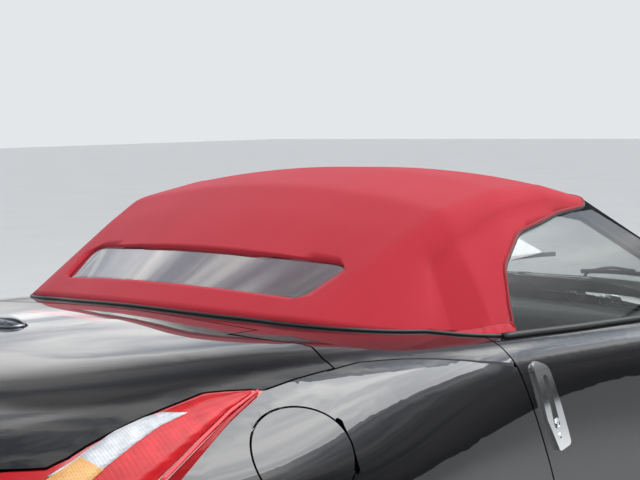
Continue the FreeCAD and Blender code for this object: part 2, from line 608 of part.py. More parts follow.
# Door furniture
mirror_arm = prism([(395, 800), (360, 800), (335, 905, 8), (372, 905, 8)], "xy", 905, 938)
mirror_shell = box(318, 405, 850, 1010, 925, 1045)
mirror_shell = mirror_shell.makeFillet(32, [e for e in mirror_shell.Edges if abs(e.BoundBox.XMax - 405) < 1])
mirror_foot = box(345, 400, 762, 815, 840, 936)
mirror = mirror_shell.fuse([mirror_arm, mirror_foot]).cut(body_loft(-D.panel_clearance))
handle_block = prism([(-640, 905, 20), (-575, 880, 30), (-520, 690, 10), (-570, 680, 10), (-612, 760)], "xz", 780, 900)
handle = handle_block.common(body_loft(-9)).cut(body_loft(-D.panel_clearance))
grip = prism([(-607, 862, 8), (-590, 862, 8), (-560, 735, 10), (-585, 735, 10)], "xz", 780, 910)
handle = handle.cut(grip)

# Wheels: a barrel with five twin spokes, a hub, a disc, and a tyre round it
def wheel_pieces(width):
    half = width / 2 - 8
    r = D.rim_radius
    barrel = [
        (half, r + 9), (half - 8, r + 9), (half - 16, r), (-half + 16, r), (-half + 8, r + 9), (-half, r + 9),
        (-half + 2, r - 12), (half - 62, r - 18), (half - 8, r - 8),
    ]
    ring = Part.Face(Part.makePolygon([V(0, y, z) for y, z in barrel + barrel[:1]])).revolve(V(0, 0, 0), V(0, 1, 0), 360)
    hub = Part.makeCylinder(68, 34, V(0, half - 70, 0), V(0, 1, 0))
    hub = hub.fuse(Part.makeCylinder(34, 60, V(0, half - 120, 0), V(0, 1, 0)))
    rim = ring.fuse(hub)
    for i in range(5):
        for lean in (-10.5, 10.5):
            spoke = prism([(-13, 40), (13, 40), (10, r - 13), (-10, r - 13)], "xz", half - 64, half - 36)
            spoke.rotate(V(0, 0, 0), V(0, 1, 0), 72 * i + lean)
            rim = rim.fuse(spoke)
    disc = Part.makeCylinder(D.disc_radius, D.disc_width, V(0, half - 148, 0), V(0, 1, 0))
    disc = disc.cut(Part.makeCylinder(88, 14, V(0, half - 149, 0), V(0, 1, 0)))
    rim = rim.fuse(disc).fuse(Part.makeCylinder(60, 32, V(0, half - 134, 0), V(0, 1, 0)))
    rim = rim.cut(Part.makeCylinder(D.stub_radius + D.panel_clearance, 100, V(0, half - 150, 0), V(0, 1, 0)))
    w = width / 2
    R = D.tyre_radius
    side = r + 9.3
    tyre_points = [(w - 9, side), (w + 4, R - 30, 50), (w - 30, R), (-w + 30, R), (-w - 4, R - 30, 50), (-w + 9, side)]
    tyre = Part.Face(polygon_wire(tyre_points, "yz", 0)).revolve(V(0, 0, 0), V(0, 1, 0), 360)
    return rim, tyre


def placed(shape, x, y, z):
    moved = shape.copy()
    moved.translate(V(x, y, z))
    return moved


front_rim, front_tyre = wheel_pieces(D.front_tyre_width)
rear_rim, rear_tyre = wheel_pieces(D.rear_tyre_width)
wheel_nodes = []
for label, x, y, rim, tyre in (
    ("front", D.front_axle_x, front_wheel_y, front_rim, front_tyre),
    ("rear", rear_axle_x, rear_wheel_y, rear_rim, rear_tyre),
):
    left_rim, left_tyre = placed(rim, x, y, D.tyre_radius), placed(tyre, x, y, D.tyre_radius)
    wheel_nodes += [
        (f"rim_{label}_left", left_rim), (f"tyre_{label}_left", left_tyre),
        (f"rim_{label}_right", mirrored(left_rim)), (f"tyre_{label}_right", mirrored(left_tyre)),
    ]

# Front uprights: stub axle, upright and caliper, turning on a king pin
front_half = D.front_tyre_width / 2 - 8
king_y = front_wheel_y - D.king_offset
ax, az = D.front_axle_x, D.tyre_radius
stub = Part.makeCylinder(D.stub_radius, 96, V(ax, front_wheel_y + front_half - 196, az), V(0, 1, 0))
upright_y = front_wheel_y + front_half - 196
upright = box(ax - 34, ax + 34, upright_y - 4, upright_y + 36, az - 112, az + 150)
caliper = box(ax - 188, ax - 108, upright_y + 8, front_wheel_y + front_half - 106, az - 52, az + 52)
disc_at = V(ax, front_wheel_y + front_half - 154, az)
caliper = caliper.cut(Part.makeCylinder(D.disc_radius + 6, D.disc_width + 12, disc_at, V(0, 1, 0)))
bracket = box(ax - 120, ax - 20, upright_y + 2, upright_y + 26, az - 30, az + 30)
king = Part.makeCylinder(D.king_radius, 308, V(ax, king_y, az - 136))
knuckle = upright.fuse([bracket, caliper, stub, king])

# Front subframe: cross member, arms with king-pin eyes, rails and dampers
cross = box(ax - 60, ax + 60, 0, 430, 150, 245).common(body_loft(D.wall + D.panel_clearance))
low = prism([(ax - 90, 380), (ax + 90, 380), (ax + 28, king_y), (ax - 28, king_y)], "xy", az - 138, az - 117)
low = low.fuse(Part.makeCylinder(28, 21, V(ax, king_y, az - 138)))
high = prism([(ax - 60, 500), (ax + 60, 500), (ax + 24, king_y), (ax - 24, king_y)], "xy", az + 156, az + 174)
high = high.fuse(Part.makeCylinder(26, 18, V(ax, king_y, az + 156)))
damper = Part.makeCylinder(30, 520, V(ax, 512, az - 137))
rail = box(ax - 380, ax + 420, 360, 430, 235, 330)
engine_shelf = box(ax - 290, ax - 220, 200, 400, D.engine_z - 12, D.engine_z - D.panel_clearance)
arm = low.fuse([high, damper, rail, cross, engine_shelf])
arm = arm.cut(Part.makeCylinder(D.king_radius + D.panel_clearance, 500, V(ax, king_y, 100)))
front_subframe = arm.fuse(mirrored(arm))

# Rear subframe: final drive, half shafts, arms and hub carriers
bx = rear_axle_x
rear_half = D.rear_tyre_width / 2 - 8
rear_upright_y = rear_wheel_y + rear_half - 196
rear_stub = Part.makeCylinder(D.stub_radius, 96, V(bx, rear_upright_y, az), V(0, 1, 0))
rear_upright = box(bx - 40, bx + 40, rear_upright_y - 4, rear_upright_y + 36, az - 120, az + 150)
half_shaft = Part.makeCylinder(18, rear_upright_y - 90, V(bx, 100, az), V(0, 1, 0))
REAR_ARM = [(bx - 110, 300), (bx + 110, 300), (bx + 34, rear_upright_y + 10), (bx - 34, rear_upright_y + 10)]
rear_arm = prism(REAR_ARM, "xy", az - 120, az - 96)
rear_damper = Part.makeCylinder(32, 480, V(bx - 60, 480, az - 118))
rear_cross = box(bx - 70, bx + 70, 0, 340, az - 160, az - 90).common(body_loft(D.wall + D.panel_clearance))
rear_side = rear_stub.fuse([rear_upright, half_shaft, rear_arm, rear_damper, rear_cross])
drive = box(bx - 150, bx + 150, -120, 120, az - 110, az + 90)
rear_subframe = drive.fuse([rear_side, mirrored(rear_side)])

# Engine block and gearbox as plain masses, and the exhaust
engine_front_x, engine_half = D.engine_x + D.engine_length / 2, D.engine_width / 2
engine_back_x = engine_front_x - D.engine_length + 20
engine = box(engine_back_x, engine_front_x, -engine_half, engine_half, D.engine_z, D.engine_z + D.engine_height)
silencer = box(-1960, -1700, -560, 560, 266, 376)
silencer = silencer.makeFillet(45, [e for e in silencer.Edges if e.Length > 1000])
pipe_end = V(-2100, D.exhaust_y, D.exhaust_z)
pipe = Part.makeCylinder(D.exhaust_radius, 190, pipe_end, V(1, 0, 0))
pipe = pipe.cut(Part.makeCylinder(D.exhaust_radius - D.exhaust_wall, 130, pipe_end, V(1, 0, 0)))
hanger = box(-1730, -1712, 280, 320, 150, 300).common(body_loft(D.wall + D.panel_clearance))
exhaust = silencer.fuse([pipe, mirrored(pipe), hanger, mirrored(hanger)])
pipe_room = Part.makeCylinder(D.exhaust_radius + 14, 500, V(-2300, D.exhaust_y, D.exhaust_z), V(1, 0, 0))
rear_bumper = rear_bumper.cut(both(pipe_room))

# Seats, dashboard, steering wheel
seat_y = D.seat_y
half_seat = D.seat_width / 2
cushion = box(-470, 60, seat_y - half_seat, seat_y + half_seat, 300, 420)
cushion = cushion.makeFillet(38, [e for e in cushion.Edges if e.BoundBox.ZMin > 400])
base = box(-430, 0, seat_y - 180, seat_y + 180, D.floor_top_z + D.floor_thickness + 0.2, 299.8)
back = box(-560, -430, seat_y - half_seat + 10, seat_y + half_seat - 10, 0, 640)
back = back.makeFillet(48, [e for e in back.Edges if e.BoundBox.ZMin > 600 or e.BoundBox.ZLength > 600])
back.translate(V(0, 0, 330))
back.rotate(V(-500, 0, 380), V(0, 1, 0), -14)
back = back.cut(cushion.copy())
seat = [base, cushion, back]
dash = prism([(330, 640), (300, 700, 30), (320, 860, 60), (520, 905, 30), (519.7, 560), (440, 540)], "xz", -626, 626)
CONSOLE = [(300, 396), (-560, 396), (-560, 520, 40), (-100, 520, 80), (200, 640, 60), (330, 660), (330, 396)]
console = prism(CONSOLE, "xz", -110, 110)
dash = dash.fuse(console).common(body_loft(D.wall + 40)).cut(box(D.firewall_x - 40.3, 700, -700, 700, 0, 920))
column_axis = V(-math.cos(math.radians(D.steering_tilt)), 0, math.sin(math.radians(D.steering_tilt)))
steer_at = V(D.steering_x, D.steering_y, D.steering_z)
column = Part.makeCylinder(28, 190, steer_at - column_axis * 250, column_axis)
dash = dash.fuse(column)
grip_ring = Part.makeTorus(D.steering_radius, D.steering_grip, V(0, 0, 0), V(0, 0, 1))
boss = Part.makeCylinder(62, 42, V(0, 0, -46)).fuse(Part.makeCylinder(30, 14, V(0, 0, -59.7)))
wheel_shape = grip_ring.fuse(boss)
for angle in (0, 180, 270):
    arm = prism([(50, -20), (D.steering_radius - 2, -14), (D.steering_radius - 2, 14), (50, 20)], "xy", -14, -2)
    arm.rotate(V(0, 0, 0), V(0, 0, 1), angle)
    wheel_shape = wheel_shape.fuse(arm)
wheel_shape.rotate(V(0, 0, 0), V(0, 1, 0), -(90 - D.steering_tilt))
steering_wheel = placed(wheel_shape, steer_at.x, steer_at.y, steer_at.z)

# Grille opening in the front bumper, with its slats, and the high stop lamp
GRILLE = [(-430, 300, 30), (430, 300, 30), (500, 545, 60), (-500, 545, 60)]
front_bumper = front_bumper.cut(prism(GRILLE, "yz", 1980, 2200))
grille = prism(GRILLE, "yz", 2040, 2100, -D.panel_clearance).common(body_loft(12))
for k in range(5):
    grille = grille.cut(box(2000, 2200, -400, 400, 320 + 43 * k, 348 + 43 * k))
STOP_LAMP = [(-1310, -150, 16), (-1342, -150, 16), (-1342, 150, 16), (-1310, 150, 16)]
stop_region = prism(STOP_LAMP, "xy", 960, 1100)
stop_lamp = boot_lid.common(stop_region)
boot_lid = boot_lid.cut(stop_region)

door_panel = door_panel.cut(channel)

for name, shape in (
    ("bonnet", bonnet), ("boot_lid", boot_lid), ("storage_lid", storage_lid),
    ("door_left", door_panel),
    ("front_bumper", front_bumper), ("rear_bumper", rear_bumper), ("front_fenders", front_fenders),
    ("rear_quarters", rear_quarters), ("sills", sills), ("underbody", underbody), ("floor_skin", floor_skin),
    ("tail_lamps", both(tail_lamp)), ("headlamps", both(head_lamp)), ("fuel_flap", fuel_flap),
    ("door_right", mirrored(door_panel)), ("wheel_liners", Part.makeCompound(liners + [mirrored(x) for x in liners])),
    ("screen_frame", screen_frame), ("windscreen", windscreen),
    ("soft_top", soft_top), ("rear_window", rear_window), ("top_frame", Part.makeCompound(top_frame)),
    ("glass_left", door_glass), ("glass_right", mirrored(door_glass)),
    ("mirror_left", mirror), ("mirror_right", mirrored(mirror)), ("handle_left", handle), ("handle_right", mirrored(handle)),
    *wheel_nodes, ("knuckle_left", knuckle), ("knuckle_right", mirrored(knuckle)),
    ("front_subframe", front_subframe), ("rear_subframe", rear_subframe), ("engine", engine), ("exhaust", exhaust),
    ("seats", Part.makeCompound(seat + [mirrored(s) for s in seat])), ("dashboard", dash), ("steering_wheel", steering_wheel),
    ("grille", grille), ("stop_lamp", stop_lamp),
):
    add(name, solids(name, shape))

doc.recompute()
os.makedirs("parts", exist_ok=True)
for piece in NODES:
    if "Invalid" in piece.State or "Error" in piece.State or piece.Shape.isNull() or not piece.Shape.isValid():
        raise ValueError(f"{piece.Label} failed")
    piece.Shape.exportStep(f"parts/{piece.Label}.step")
print("pieces", len(NODES), "solids", sum(len(piece.Shape.Solids) for piece in NODES))
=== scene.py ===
# %% [markdown]
# A two-seat convertible car, dressed for its portrait.
# The shapes of the panels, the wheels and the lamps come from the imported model, which is loaded as a fixed
# frame. This lesson adds what a drawing of solids leaves out: paint, cloth, glass, seams, seals and lenses.
# We load the frame first, because every piece is placed by it.

# %% Load the frame
import json
import math

import bmesh
import bpy
from mathutils import Matrix, Vector

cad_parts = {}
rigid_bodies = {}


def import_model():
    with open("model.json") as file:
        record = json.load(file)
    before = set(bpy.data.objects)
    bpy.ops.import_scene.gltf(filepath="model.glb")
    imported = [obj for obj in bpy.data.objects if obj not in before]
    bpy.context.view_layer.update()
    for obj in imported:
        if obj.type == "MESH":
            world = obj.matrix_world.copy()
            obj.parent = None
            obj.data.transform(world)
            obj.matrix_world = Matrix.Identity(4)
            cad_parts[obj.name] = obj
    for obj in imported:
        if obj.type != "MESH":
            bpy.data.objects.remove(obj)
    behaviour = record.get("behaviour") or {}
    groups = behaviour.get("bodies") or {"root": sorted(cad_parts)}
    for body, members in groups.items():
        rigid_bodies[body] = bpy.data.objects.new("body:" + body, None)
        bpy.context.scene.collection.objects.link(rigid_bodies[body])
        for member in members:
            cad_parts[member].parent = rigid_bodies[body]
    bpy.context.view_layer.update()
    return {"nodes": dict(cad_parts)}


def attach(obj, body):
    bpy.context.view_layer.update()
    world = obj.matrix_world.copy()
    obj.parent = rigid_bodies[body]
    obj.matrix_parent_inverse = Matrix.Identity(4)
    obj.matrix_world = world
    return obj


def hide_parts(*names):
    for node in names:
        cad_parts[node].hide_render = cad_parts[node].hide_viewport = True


for old in list(bpy.data.objects):
    bpy.data.objects.remove(old)
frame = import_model()
nodes = frame["nodes"]

# %% [markdown]
# The camera stands behind the right rear wheel, 1.5 m above the ground, with a short telephoto lens. Its
# place was found by matching points of the picture with points on the car, so we type it in as numbers. A
# lens's focal length is given for a sensor 36 mm wide.

# %% Camera
PICTURE_WIDTH, PICTURE_HEIGHT = 640, 480
FOCAL_PIXELS = 1623.2
SENSOR_MM = 36
CAMERA_PLACE = (-3.669, -3.040, 1.480)
YAW, PITCH, ROLL = 43.27, -4.53, -0.95
scene = bpy.context.scene
camera_data = bpy.data.cameras.new("camera")
camera = bpy.data.objects.new("camera", camera_data)
scene.collection.objects.link(camera)
scene.camera = camera
yaw, pitch, roll = math.radians(YAW), math.radians(PITCH), math.radians(ROLL)
ahead = Vector((math.cos(pitch) * math.cos(yaw), math.cos(pitch) * math.sin(yaw), math.sin(pitch)))
right = Vector((math.sin(yaw), -math.cos(yaw), 0))
up = right.cross(ahead)
right_rolled = right * math.cos(roll) + up * math.sin(roll)
up_rolled = up * math.cos(roll) - right * math.sin(roll)
turn = Matrix((right_rolled, up_rolled, -ahead)).transposed()
camera.matrix_world = Matrix.Translation(CAMERA_PLACE) @ turn.to_4x4()
camera_data.lens = SENSOR_MM * FOCAL_PIXELS / PICTURE_WIDTH
camera_data.clip_end = 100
print("camera lens", round(camera_data.lens, 1), "mm")

# %% [markdown]
# Two small helpers keep the rest short. `mesh_object` turns lists of points and faces into an object, and
# `material` starts a material whose Principled shader gets its plain values at once.

# %% Helpers
def mesh_object(name, points, faces, smooth=True):
    """A new object from lists of points and faces."""
    mesh = bpy.data.meshes.new(name)
    mesh.from_pydata([tuple(p) for p in points], [], faces)
    mesh.validate()
    mesh.update()
    piece = bpy.data.objects.new(name, mesh)
    scene.collection.objects.link(piece)
    for polygon in mesh.polygons:
        polygon.use_smooth = smooth
    return piece


def material(name, color, **values):
    """A new material; a value's name has _ where the shader's socket has a space."""
    made = bpy.data.materials.new(name)
    made.use_nodes = True
    shader = made.node_tree.nodes["Principled BSDF"]
    shader.inputs["Base Color"].default_value = (*color, 1)
    for key, value in values.items():
        shader.inputs[key.replace("_", " ")].default_value = value
    return made


def shader_of(made):
    return made.node_tree.nodes["Principled BSDF"]


def dress(made, *names):
    """Gives a CAD node, or a piece, one material all over."""
    for name in names:
        piece = nodes.get(name) or bpy.data.objects[name]
        if not piece.material_slots:
            piece.data.materials.append(made)
        for slot in piece.material_slots:
            slot.material = made


# %% [markdown]
# Two effects show on more than one finish, so they are node groups. `spread` mixes two shades by a slow
# noise, for a surface that is never quite one colour, and its mask can feed a bump. `weave` adds up fine
# waves along the three axes, which gives the height of threads or moulded ribs.

# %% Shared node groups
def node_group(name, inputs, outputs):
    group = bpy.data.node_groups.new(name, "ShaderNodeTree")
    for label, kind, default in inputs:
        socket = group.interface.new_socket(label, in_out="INPUT", socket_type=kind)
        socket.default_value = default
    for label, kind in outputs:
        group.interface.new_socket(label, in_out="OUTPUT", socket_type=kind)
    start = group.nodes.new("NodeGroupInput")
    end = group.nodes.new("NodeGroupOutput")
    return group, start, end


spread, start, end = node_group(
    "spread",
    [
        ("Dark", "NodeSocketColor", (0, 0, 0, 1)), ("Light", "NodeSocketColor", (1, 1, 1, 1)),
        ("Scale", "NodeSocketFloat", 5.0),
    ],
    [("Color", "NodeSocketColor"), ("Mask", "NodeSocketFloat")],
)
place = spread.nodes.new("ShaderNodeTexCoord")
noise = spread.nodes.new("ShaderNodeTexNoise")
noise.inputs["Detail"].default_value = 4
mix = spread.nodes.new("ShaderNodeMix")
mix.data_type = "RGBA"
spread.links.new(place.outputs["Object"], noise.inputs["Vector"])
spread.links.new(start.outputs["Scale"], noise.inputs["Scale"])
spread.links.new(noise.outputs["Fac"], mix.inputs["Factor"])
spread.links.new(start.outputs["Dark"], mix.inputs["A"])
spread.links.new(start.outputs["Light"], mix.inputs["B"])
spread.links.new(mix.outputs["Result"], end.inputs["Color"])
spread.links.new(noise.outputs["Fac"], end.inputs["Mask"])

weave, start, end = node_group(
    "weave", [("Threads per metre", "NodeSocketFloat", 900.0)], [("Height", "NodeSocketFloat")]
)
place = weave.nodes.new("ShaderNodeTexCoord")


def math_node(group, operation, first, second):
    made = group.nodes.new("ShaderNodeMath")
    made.operation = operation
    group.links.new(first, made.inputs[0])
    if isinstance(second, float):
        made.inputs[1].default_value = second
    else:
        group.links.new(second, made.inputs[1])
    return made.outputs[0]


total = None
for axis in ("X", "Y", "Z"):
    wave = weave.nodes.new("ShaderNodeTexWave")
    wave.bands_direction = axis
    wave.inputs["Distortion"].default_value = 0.6
    wave.inputs["Detail"].default_value = 1
    weave.links.new(place.outputs["Object"], wave.inputs["Vector"])
    weave.links.new(start.outputs["Threads per metre"], wave.inputs["Scale"])
    total = math_node(weave, "ADD", total, wave.outputs["Fac"]) if total else wave.outputs["Fac"]
weave.links.new(math_node(weave, "MULTIPLY", total, 0.33), end.inputs["Height"])


def use_group(made, group, **values):
    """Places a node group in a material, with its input values."""
    placed = made.node_tree.nodes.new("ShaderNodeGroup")
    placed.node_tree = group
    for key, value in values.items():
        placed.inputs[key.replace("_", " ")].default_value = value
    return placed


def add_bump(made, source, strength, distance):
    bump = made.node_tree.nodes.new("ShaderNodeBump")
    bump.inputs["Strength"].default_value = strength
    bump.inputs["Distance"].default_value = distance
    made.node_tree.links.new(source, bump.inputs["Height"])
    made.node_tree.links.new(bump.outputs["Normal"], shader_of(made).inputs["Normal"])


def tint(made, dark, light, scale):
    """Lets the base colour wander between two shades."""
    shades = use_group(made, spread, Dark=(*dark, 1), Light=(*light, 1), Scale=scale)
    made.node_tree.links.new(shades.outputs["Color"], shader_of(made).inputs["Base Color"])


print("groups", [group.name for group in (spread, weave)])

# %% [markdown]
# Black paint is nearly all reflection. The base is almost black and gets hardly any shine of its own,
# because a rough shine looks like a milky film. The clear coat above it does the mirroring, and its index
# is a little higher than that of glass, which is how a fresh polish looks.

# %% Paint
paint = material("black_paint", (0.004, 0.004, 0.005), Roughness=0.35, Coat_Weight=1.0, Coat_Roughness=0.015)
shader_of(paint).inputs["Specular IOR Level"].default_value = 0.06
shader_of(paint).inputs["Coat IOR"].default_value = 1.65
tint(paint, (0.0030, 0.0030, 0.0040), (0.005, 0.005, 0.006), 3.0)
PAINTED = (
    "bonnet", "boot_lid", "storage_lid", "door_left", "door_right", "front_bumper", "rear_bumper",
    "front_fenders", "rear_quarters", "sills", "fuel_flap", "screen_frame", "mirror_left", "mirror_right",
)
dress(paint, *PAINTED)
print("painted", len(PAINTED), "nodes")

# %% [markdown]
# The glass is thin and clear. The model's glass nodes already have their real shape and thickness, so
# they only need the material. The rear window has a heating film that mirrors more of the sky, which a
# higher index of refraction gives.

# %% Glass
glass = material("window_glass", (0.93, 0.96, 0.95), Roughness=0.0, IOR=1.5, Transmission_Weight=1.0)
dress(glass, "windscreen", "glass_left", "glass_right")
rear_glass = material("rear_glass", (0.80, 0.86, 0.88), Roughness=0.0, IOR=1.95, Transmission_Weight=1.0)
print("glass", glass.name, rear_glass.name)

# %% [markdown]
# The fabric top is cloth stretched over five hoops and the windscreen's top rail. Each hoop stands in its
# own plane, and all the planes meet in one line across the car, behind the doors, like the ribs of a fan.
# We copy the hoops' sizes from the drawing, in metres, and draw each arch as a side, a rounded corner and
# a crown.

# %% The hoops
PIVOT = Vector((-0.640, 0, 0.925))
PIVOT_HALF = 0.742
HOOPS = (
    # top x, top z, half width, drop of the shoulder, corner radius, bulge of the side
    (0.052, 1.268, 0.592, 0.062, 0.060, 0.016),
    (-0.130, 1.318, 0.598, 0.060, 0.075, 0.015),
    (-0.340, 1.326, 0.606, 0.056, 0.080, 0.014),
    (-0.600, 1.290, 0.616, 0.048, 0.085, 0.010),
    (-0.745, 1.222, 0.606, 0.044, 0.090, 0.006),
    (-1.118, 1.017, 0.700, 0.060, 0.330, 0.003),
)
SIDE_STEPS, CORNER_STEPS, CROWN_STEPS = 12, 8, 22


def bend_through(a, b, c, steps):
    """Points on the arc from a over b to c, without the last one."""
    middle = (a + c) / 2
    rise = b - middle
    points = []
    for i in range(steps):
        t = i / steps
        points.append(a.lerp(c, t) + rise * (1 - (2 * t - 1) ** 2))
    return points


def arch(hoop, inset=0.0, near=0.03):
    """One hoop's line, from the right foot over the crown to the left foot."""
    top_x, top_z, half, drop, radius, bulge = hoop
    out = Vector((top_x, 0, top_z)) - PIVOT
    length = out.length - inset
    out.normalize()
    half -= inset
    radius = max(radius - inset, 0.02)
    foot = PIVOT_HALF - inset

    def at(distance, y):
        return PIVOT + out * distance + Vector((0, y, 0))

    shoulder = length - drop
    side_end = shoulder - radius
    start, end = at(near, -foot), at(side_end, -half)
    swell = at((near + side_end) / 2, -((foot + half) / 2 + bulge))
    line = bend_through(start, swell, end, SIDE_STEPS)
    for i in range(CORNER_STEPS):
        angle = math.pi / 2 * i / CORNER_STEPS
        line.append(at(side_end + radius * math.sin(angle), -(half - radius + radius * math.cos(angle))))
    crown = half - radius
    line += bend_through(at(shoulder, -crown), at(length, 0), at(shoulder, crown), CROWN_STEPS)
    other = [Vector((p.x, -p.y, p.z)) for p in line[:SIDE_STEPS + CORNER_STEPS + 1]]
    return line + other[::-1]


print("points on a hoop", len(arch(HOOPS[0])))

# %% [markdown]
# Between two hoops the cloth is nearly flat, because it is pulled tight. Over a hoop it bends in a soft
# ridge. So we join the hoops with straight lines of points, then let each point drift a little toward its
# neighbours along the car, which rounds the ridges and nothing else.

# %% Cloth surface
PANEL_STEPS = 14


def relax(rows, rounds):
    """Lets each row drift toward its neighbours; the first and last row stay."""
    for _ in range(rounds):
        middle = [
            [q * 0.5 + (p + r) * 0.25 for p, q, r in zip(rows[i - 1], rows[i], rows[i + 1])]
            for i in range(1, len(rows) - 1)
        ]
        rows = [rows[0]] + middle + [rows[-1]]
    return rows


def cloth_rows(inset=0.0):
    """Rows of points across the car, over all hoops; `inset` draws the surface further in."""
    hoops = [arch(h, inset) for h in HOOPS]
    rows = []
    for a, b in zip(hoops, hoops[1:]):
        for k in range(PANEL_STEPS):
            t = k / PANEL_STEPS
            rows.append([p.lerp(q, t) for p, q in zip(a, b)])
    return relax(rows + [hoops[-1]], 3)


def grid_object(name, rows):
    """A sheet of four-sided faces through rows of points."""
    width = len(rows[0])
    faces = [
        (i * width + k, i * width + k + 1, (i + 1) * width + k + 1, (i + 1) * width + k)
        for i in range(len(rows) - 1)
        for k in range(width - 1)
    ]
    return mesh_object(name, [p for row in rows for p in row], faces)


top_cloth = grid_object("top_cloth", cloth_rows())
print("cloth", len(top_cloth.data.vertices), "points")

# %% [markdown]
# The openings are cut with Boolean modifiers, each by a tool body drawn as a flat outline and pushed
# through the cloth: one for both side windows, one for the rear window, and one shaped like the deck, so
# that the hem follows the bodywork. We apply each modifier at once, so that no tool is left in the scene.

# %% Cutting helpers
def apply_modifiers(piece):
    """Keeps what the modifiers make, and drops them."""
    bpy.context.view_layer.update()
    deps = bpy.context.evaluated_depsgraph_get()
    baked = bpy.data.meshes.new_from_object(piece.evaluated_get(deps), depsgraph=deps)
    old = piece.data
    piece.modifiers.clear()
    piece.data = baked
    bpy.data.meshes.remove(old)


def face_out(made, merge=0.0, crease=0.0):
    """Turns all faces outward. It can merge double points first, and mark sharp edges after."""
    bm = bmesh.new()
    bm.from_mesh(made.data)
    if merge:
        bmesh.ops.remove_doubles(bm, verts=bm.verts, dist=merge)
    bmesh.ops.recalc_face_normals(bm, faces=bm.faces)
    if crease:
        for edge in bm.edges:
            if len(edge.link_faces) == 2 and edge.calc_face_angle(0) > crease:
                edge.smooth = False
    bm.to_mesh(made.data)
    bm.free()
    return made


def thicken(piece, thickness):
    """Gives a sheet its thickness, inward from its face."""
    body = piece.modifiers.new("thickness", "SOLIDIFY")
    body.thickness = thickness
    body.offset = -1
    apply_modifiers(piece)
    for polygon in piece.data.polygons:
        polygon.use_smooth = True


def box_line(a_low, b_low, a_high, b_high, *radius):
    """The corners of an upright rectangle, each with the corner radius if one is given."""
    return [(a, b, *radius) for a, b in ((a_low, b_low), (a_high, b_low), (a_high, b_high), (a_low, b_high))]


def outline(points, steps=8):
    """Rounds the corners of (a, b, radius) points and gives the closed line as (a, b) pairs."""
    line = []
    count = len(points)
    for i in range(count):
        a, b, radius = (*points[i], 0)[:3]
        before = Vector(points[i - 1][:2]) - Vector((a, b))
        after = Vector(points[(i + 1) % count][:2]) - Vector((a, b))
        if not radius:
            line.append((a, b))
            continue
        half = before.angle(after) / 2
        back = min(radius / math.tan(half), 0.49 * before.length, 0.49 * after.length)
        p, q = before.normalized() * back, after.normalized() * back
        for k in range(steps + 1):
            t = k / steps
            point = p * (1 - t) ** 2 + q * t ** 2
            line.append((a + point.x, b + point.y))
    return line


def tool_body(name, line, place_at):
    """A closed body between place_at(a, b, 0) and place_at(a, b, 1) of each point of the line."""
    count = len(line)
    points = [place_at(a, b, 0) for a, b in line] + [place_at(a, b, 1) for a, b in line]
    faces = [(i, (i + 1) % count, count + (i + 1) % count, count + i) for i in range(count)]
    faces += [tuple(range(count))[::-1], tuple(range(count, 2 * count))]
    return face_out(mesh_object(name, points, faces, smooth=False))


def cut(piece, *tools, operation="DIFFERENCE"):
    """Cuts each tool out of the piece, or keeps what is inside it, and removes the tool."""
    for tool in tools:
        boolean = piece.modifiers.new("cut", "BOOLEAN")
        boolean.operation = operation
        boolean.solver = "EXACT"
        boolean.object = tool
        apply_modifiers(piece)
        bpy.data.objects.remove(tool)


# %% [markdown]
# The hem has to follow the deck, so we drop a line of plumb bobs: rays that fall on the bodywork's own
# meshes and tell its height at each place.

# %% Heights of the bodywork
bpy.context.view_layer.update()
BODYWORK = ("storage_lid", "rear_quarters", "door_left", "door_right", "boot_lid")
DECK_EDGE, LOWEST_DECK, TOOL_FLOOR = 0.94, 0.86, 0.70


def deck_height(x, y, names=BODYWORK):
    """The height of the highest bodywork at one place, or None."""
    best = None
    for name in names:
        hit, point, _, _ = nodes[name].ray_cast(Vector((x, y, 2.0)), Vector((0, 0, -1)))
        if hit and (best is None or point.z > best):
            best = point.z
    return best


def deck_tool(lift):
    """A body whose top follows the deck, a little above it."""
    xs = [-1.25 + 0.03 * i for i in range(30)]
    ys = [-0.90 + 0.04 * i for i in range(46)]
    rows = []
    for x in xs:
        row = [deck_height(x, y) for y in ys]
        known = [z for z in row if z]
        edge = min(known) if known else DECK_EDGE
        rows.append([z if z and z > LOWEST_DECK else edge for z in row])
    rows = relax(rows, 2)
    width = len(ys)
    top = [(x, y, rows[i][k] + lift) for i, x in enumerate(xs) for k, y in enumerate(ys)]
    low = [(x, y, TOOL_FLOOR) for x in xs for y in ys]
    base = len(top)
    faces = []
    for i in range(len(xs) - 1):
        for k in range(width - 1):
            a, b = i * width + k, i * width + k + 1
            c, d = (i + 1) * width + k + 1, (i + 1) * width + k
            faces += [(a, b, c, d), (base + d, base + c, base + b, base + a)]
    for i in range(len(xs) - 1):
        for k in (0, width - 1):
            a, b = i * width + k, (i + 1) * width + k
            faces.append((a, b, base + b, base + a))
    for k in range(width - 1):
        for i in (0, len(xs) - 1):
            a, b = i * width + k, i * width + k + 1
            faces.append((a, b, base + b, base + a))
    return face_out(mesh_object("deck_tool", top + low, faces, smooth=False))


print("deck behind the top", deck_height(-1.15, 0.0), "beside it", deck_height(-0.75, -0.78))

# %% [markdown]
# Now the cuts. The side outline runs along the door glass's rail and down behind the glass. It goes through
# both sides in one push. The rear outline lies in the sloping panel between the last hoop and the hem.

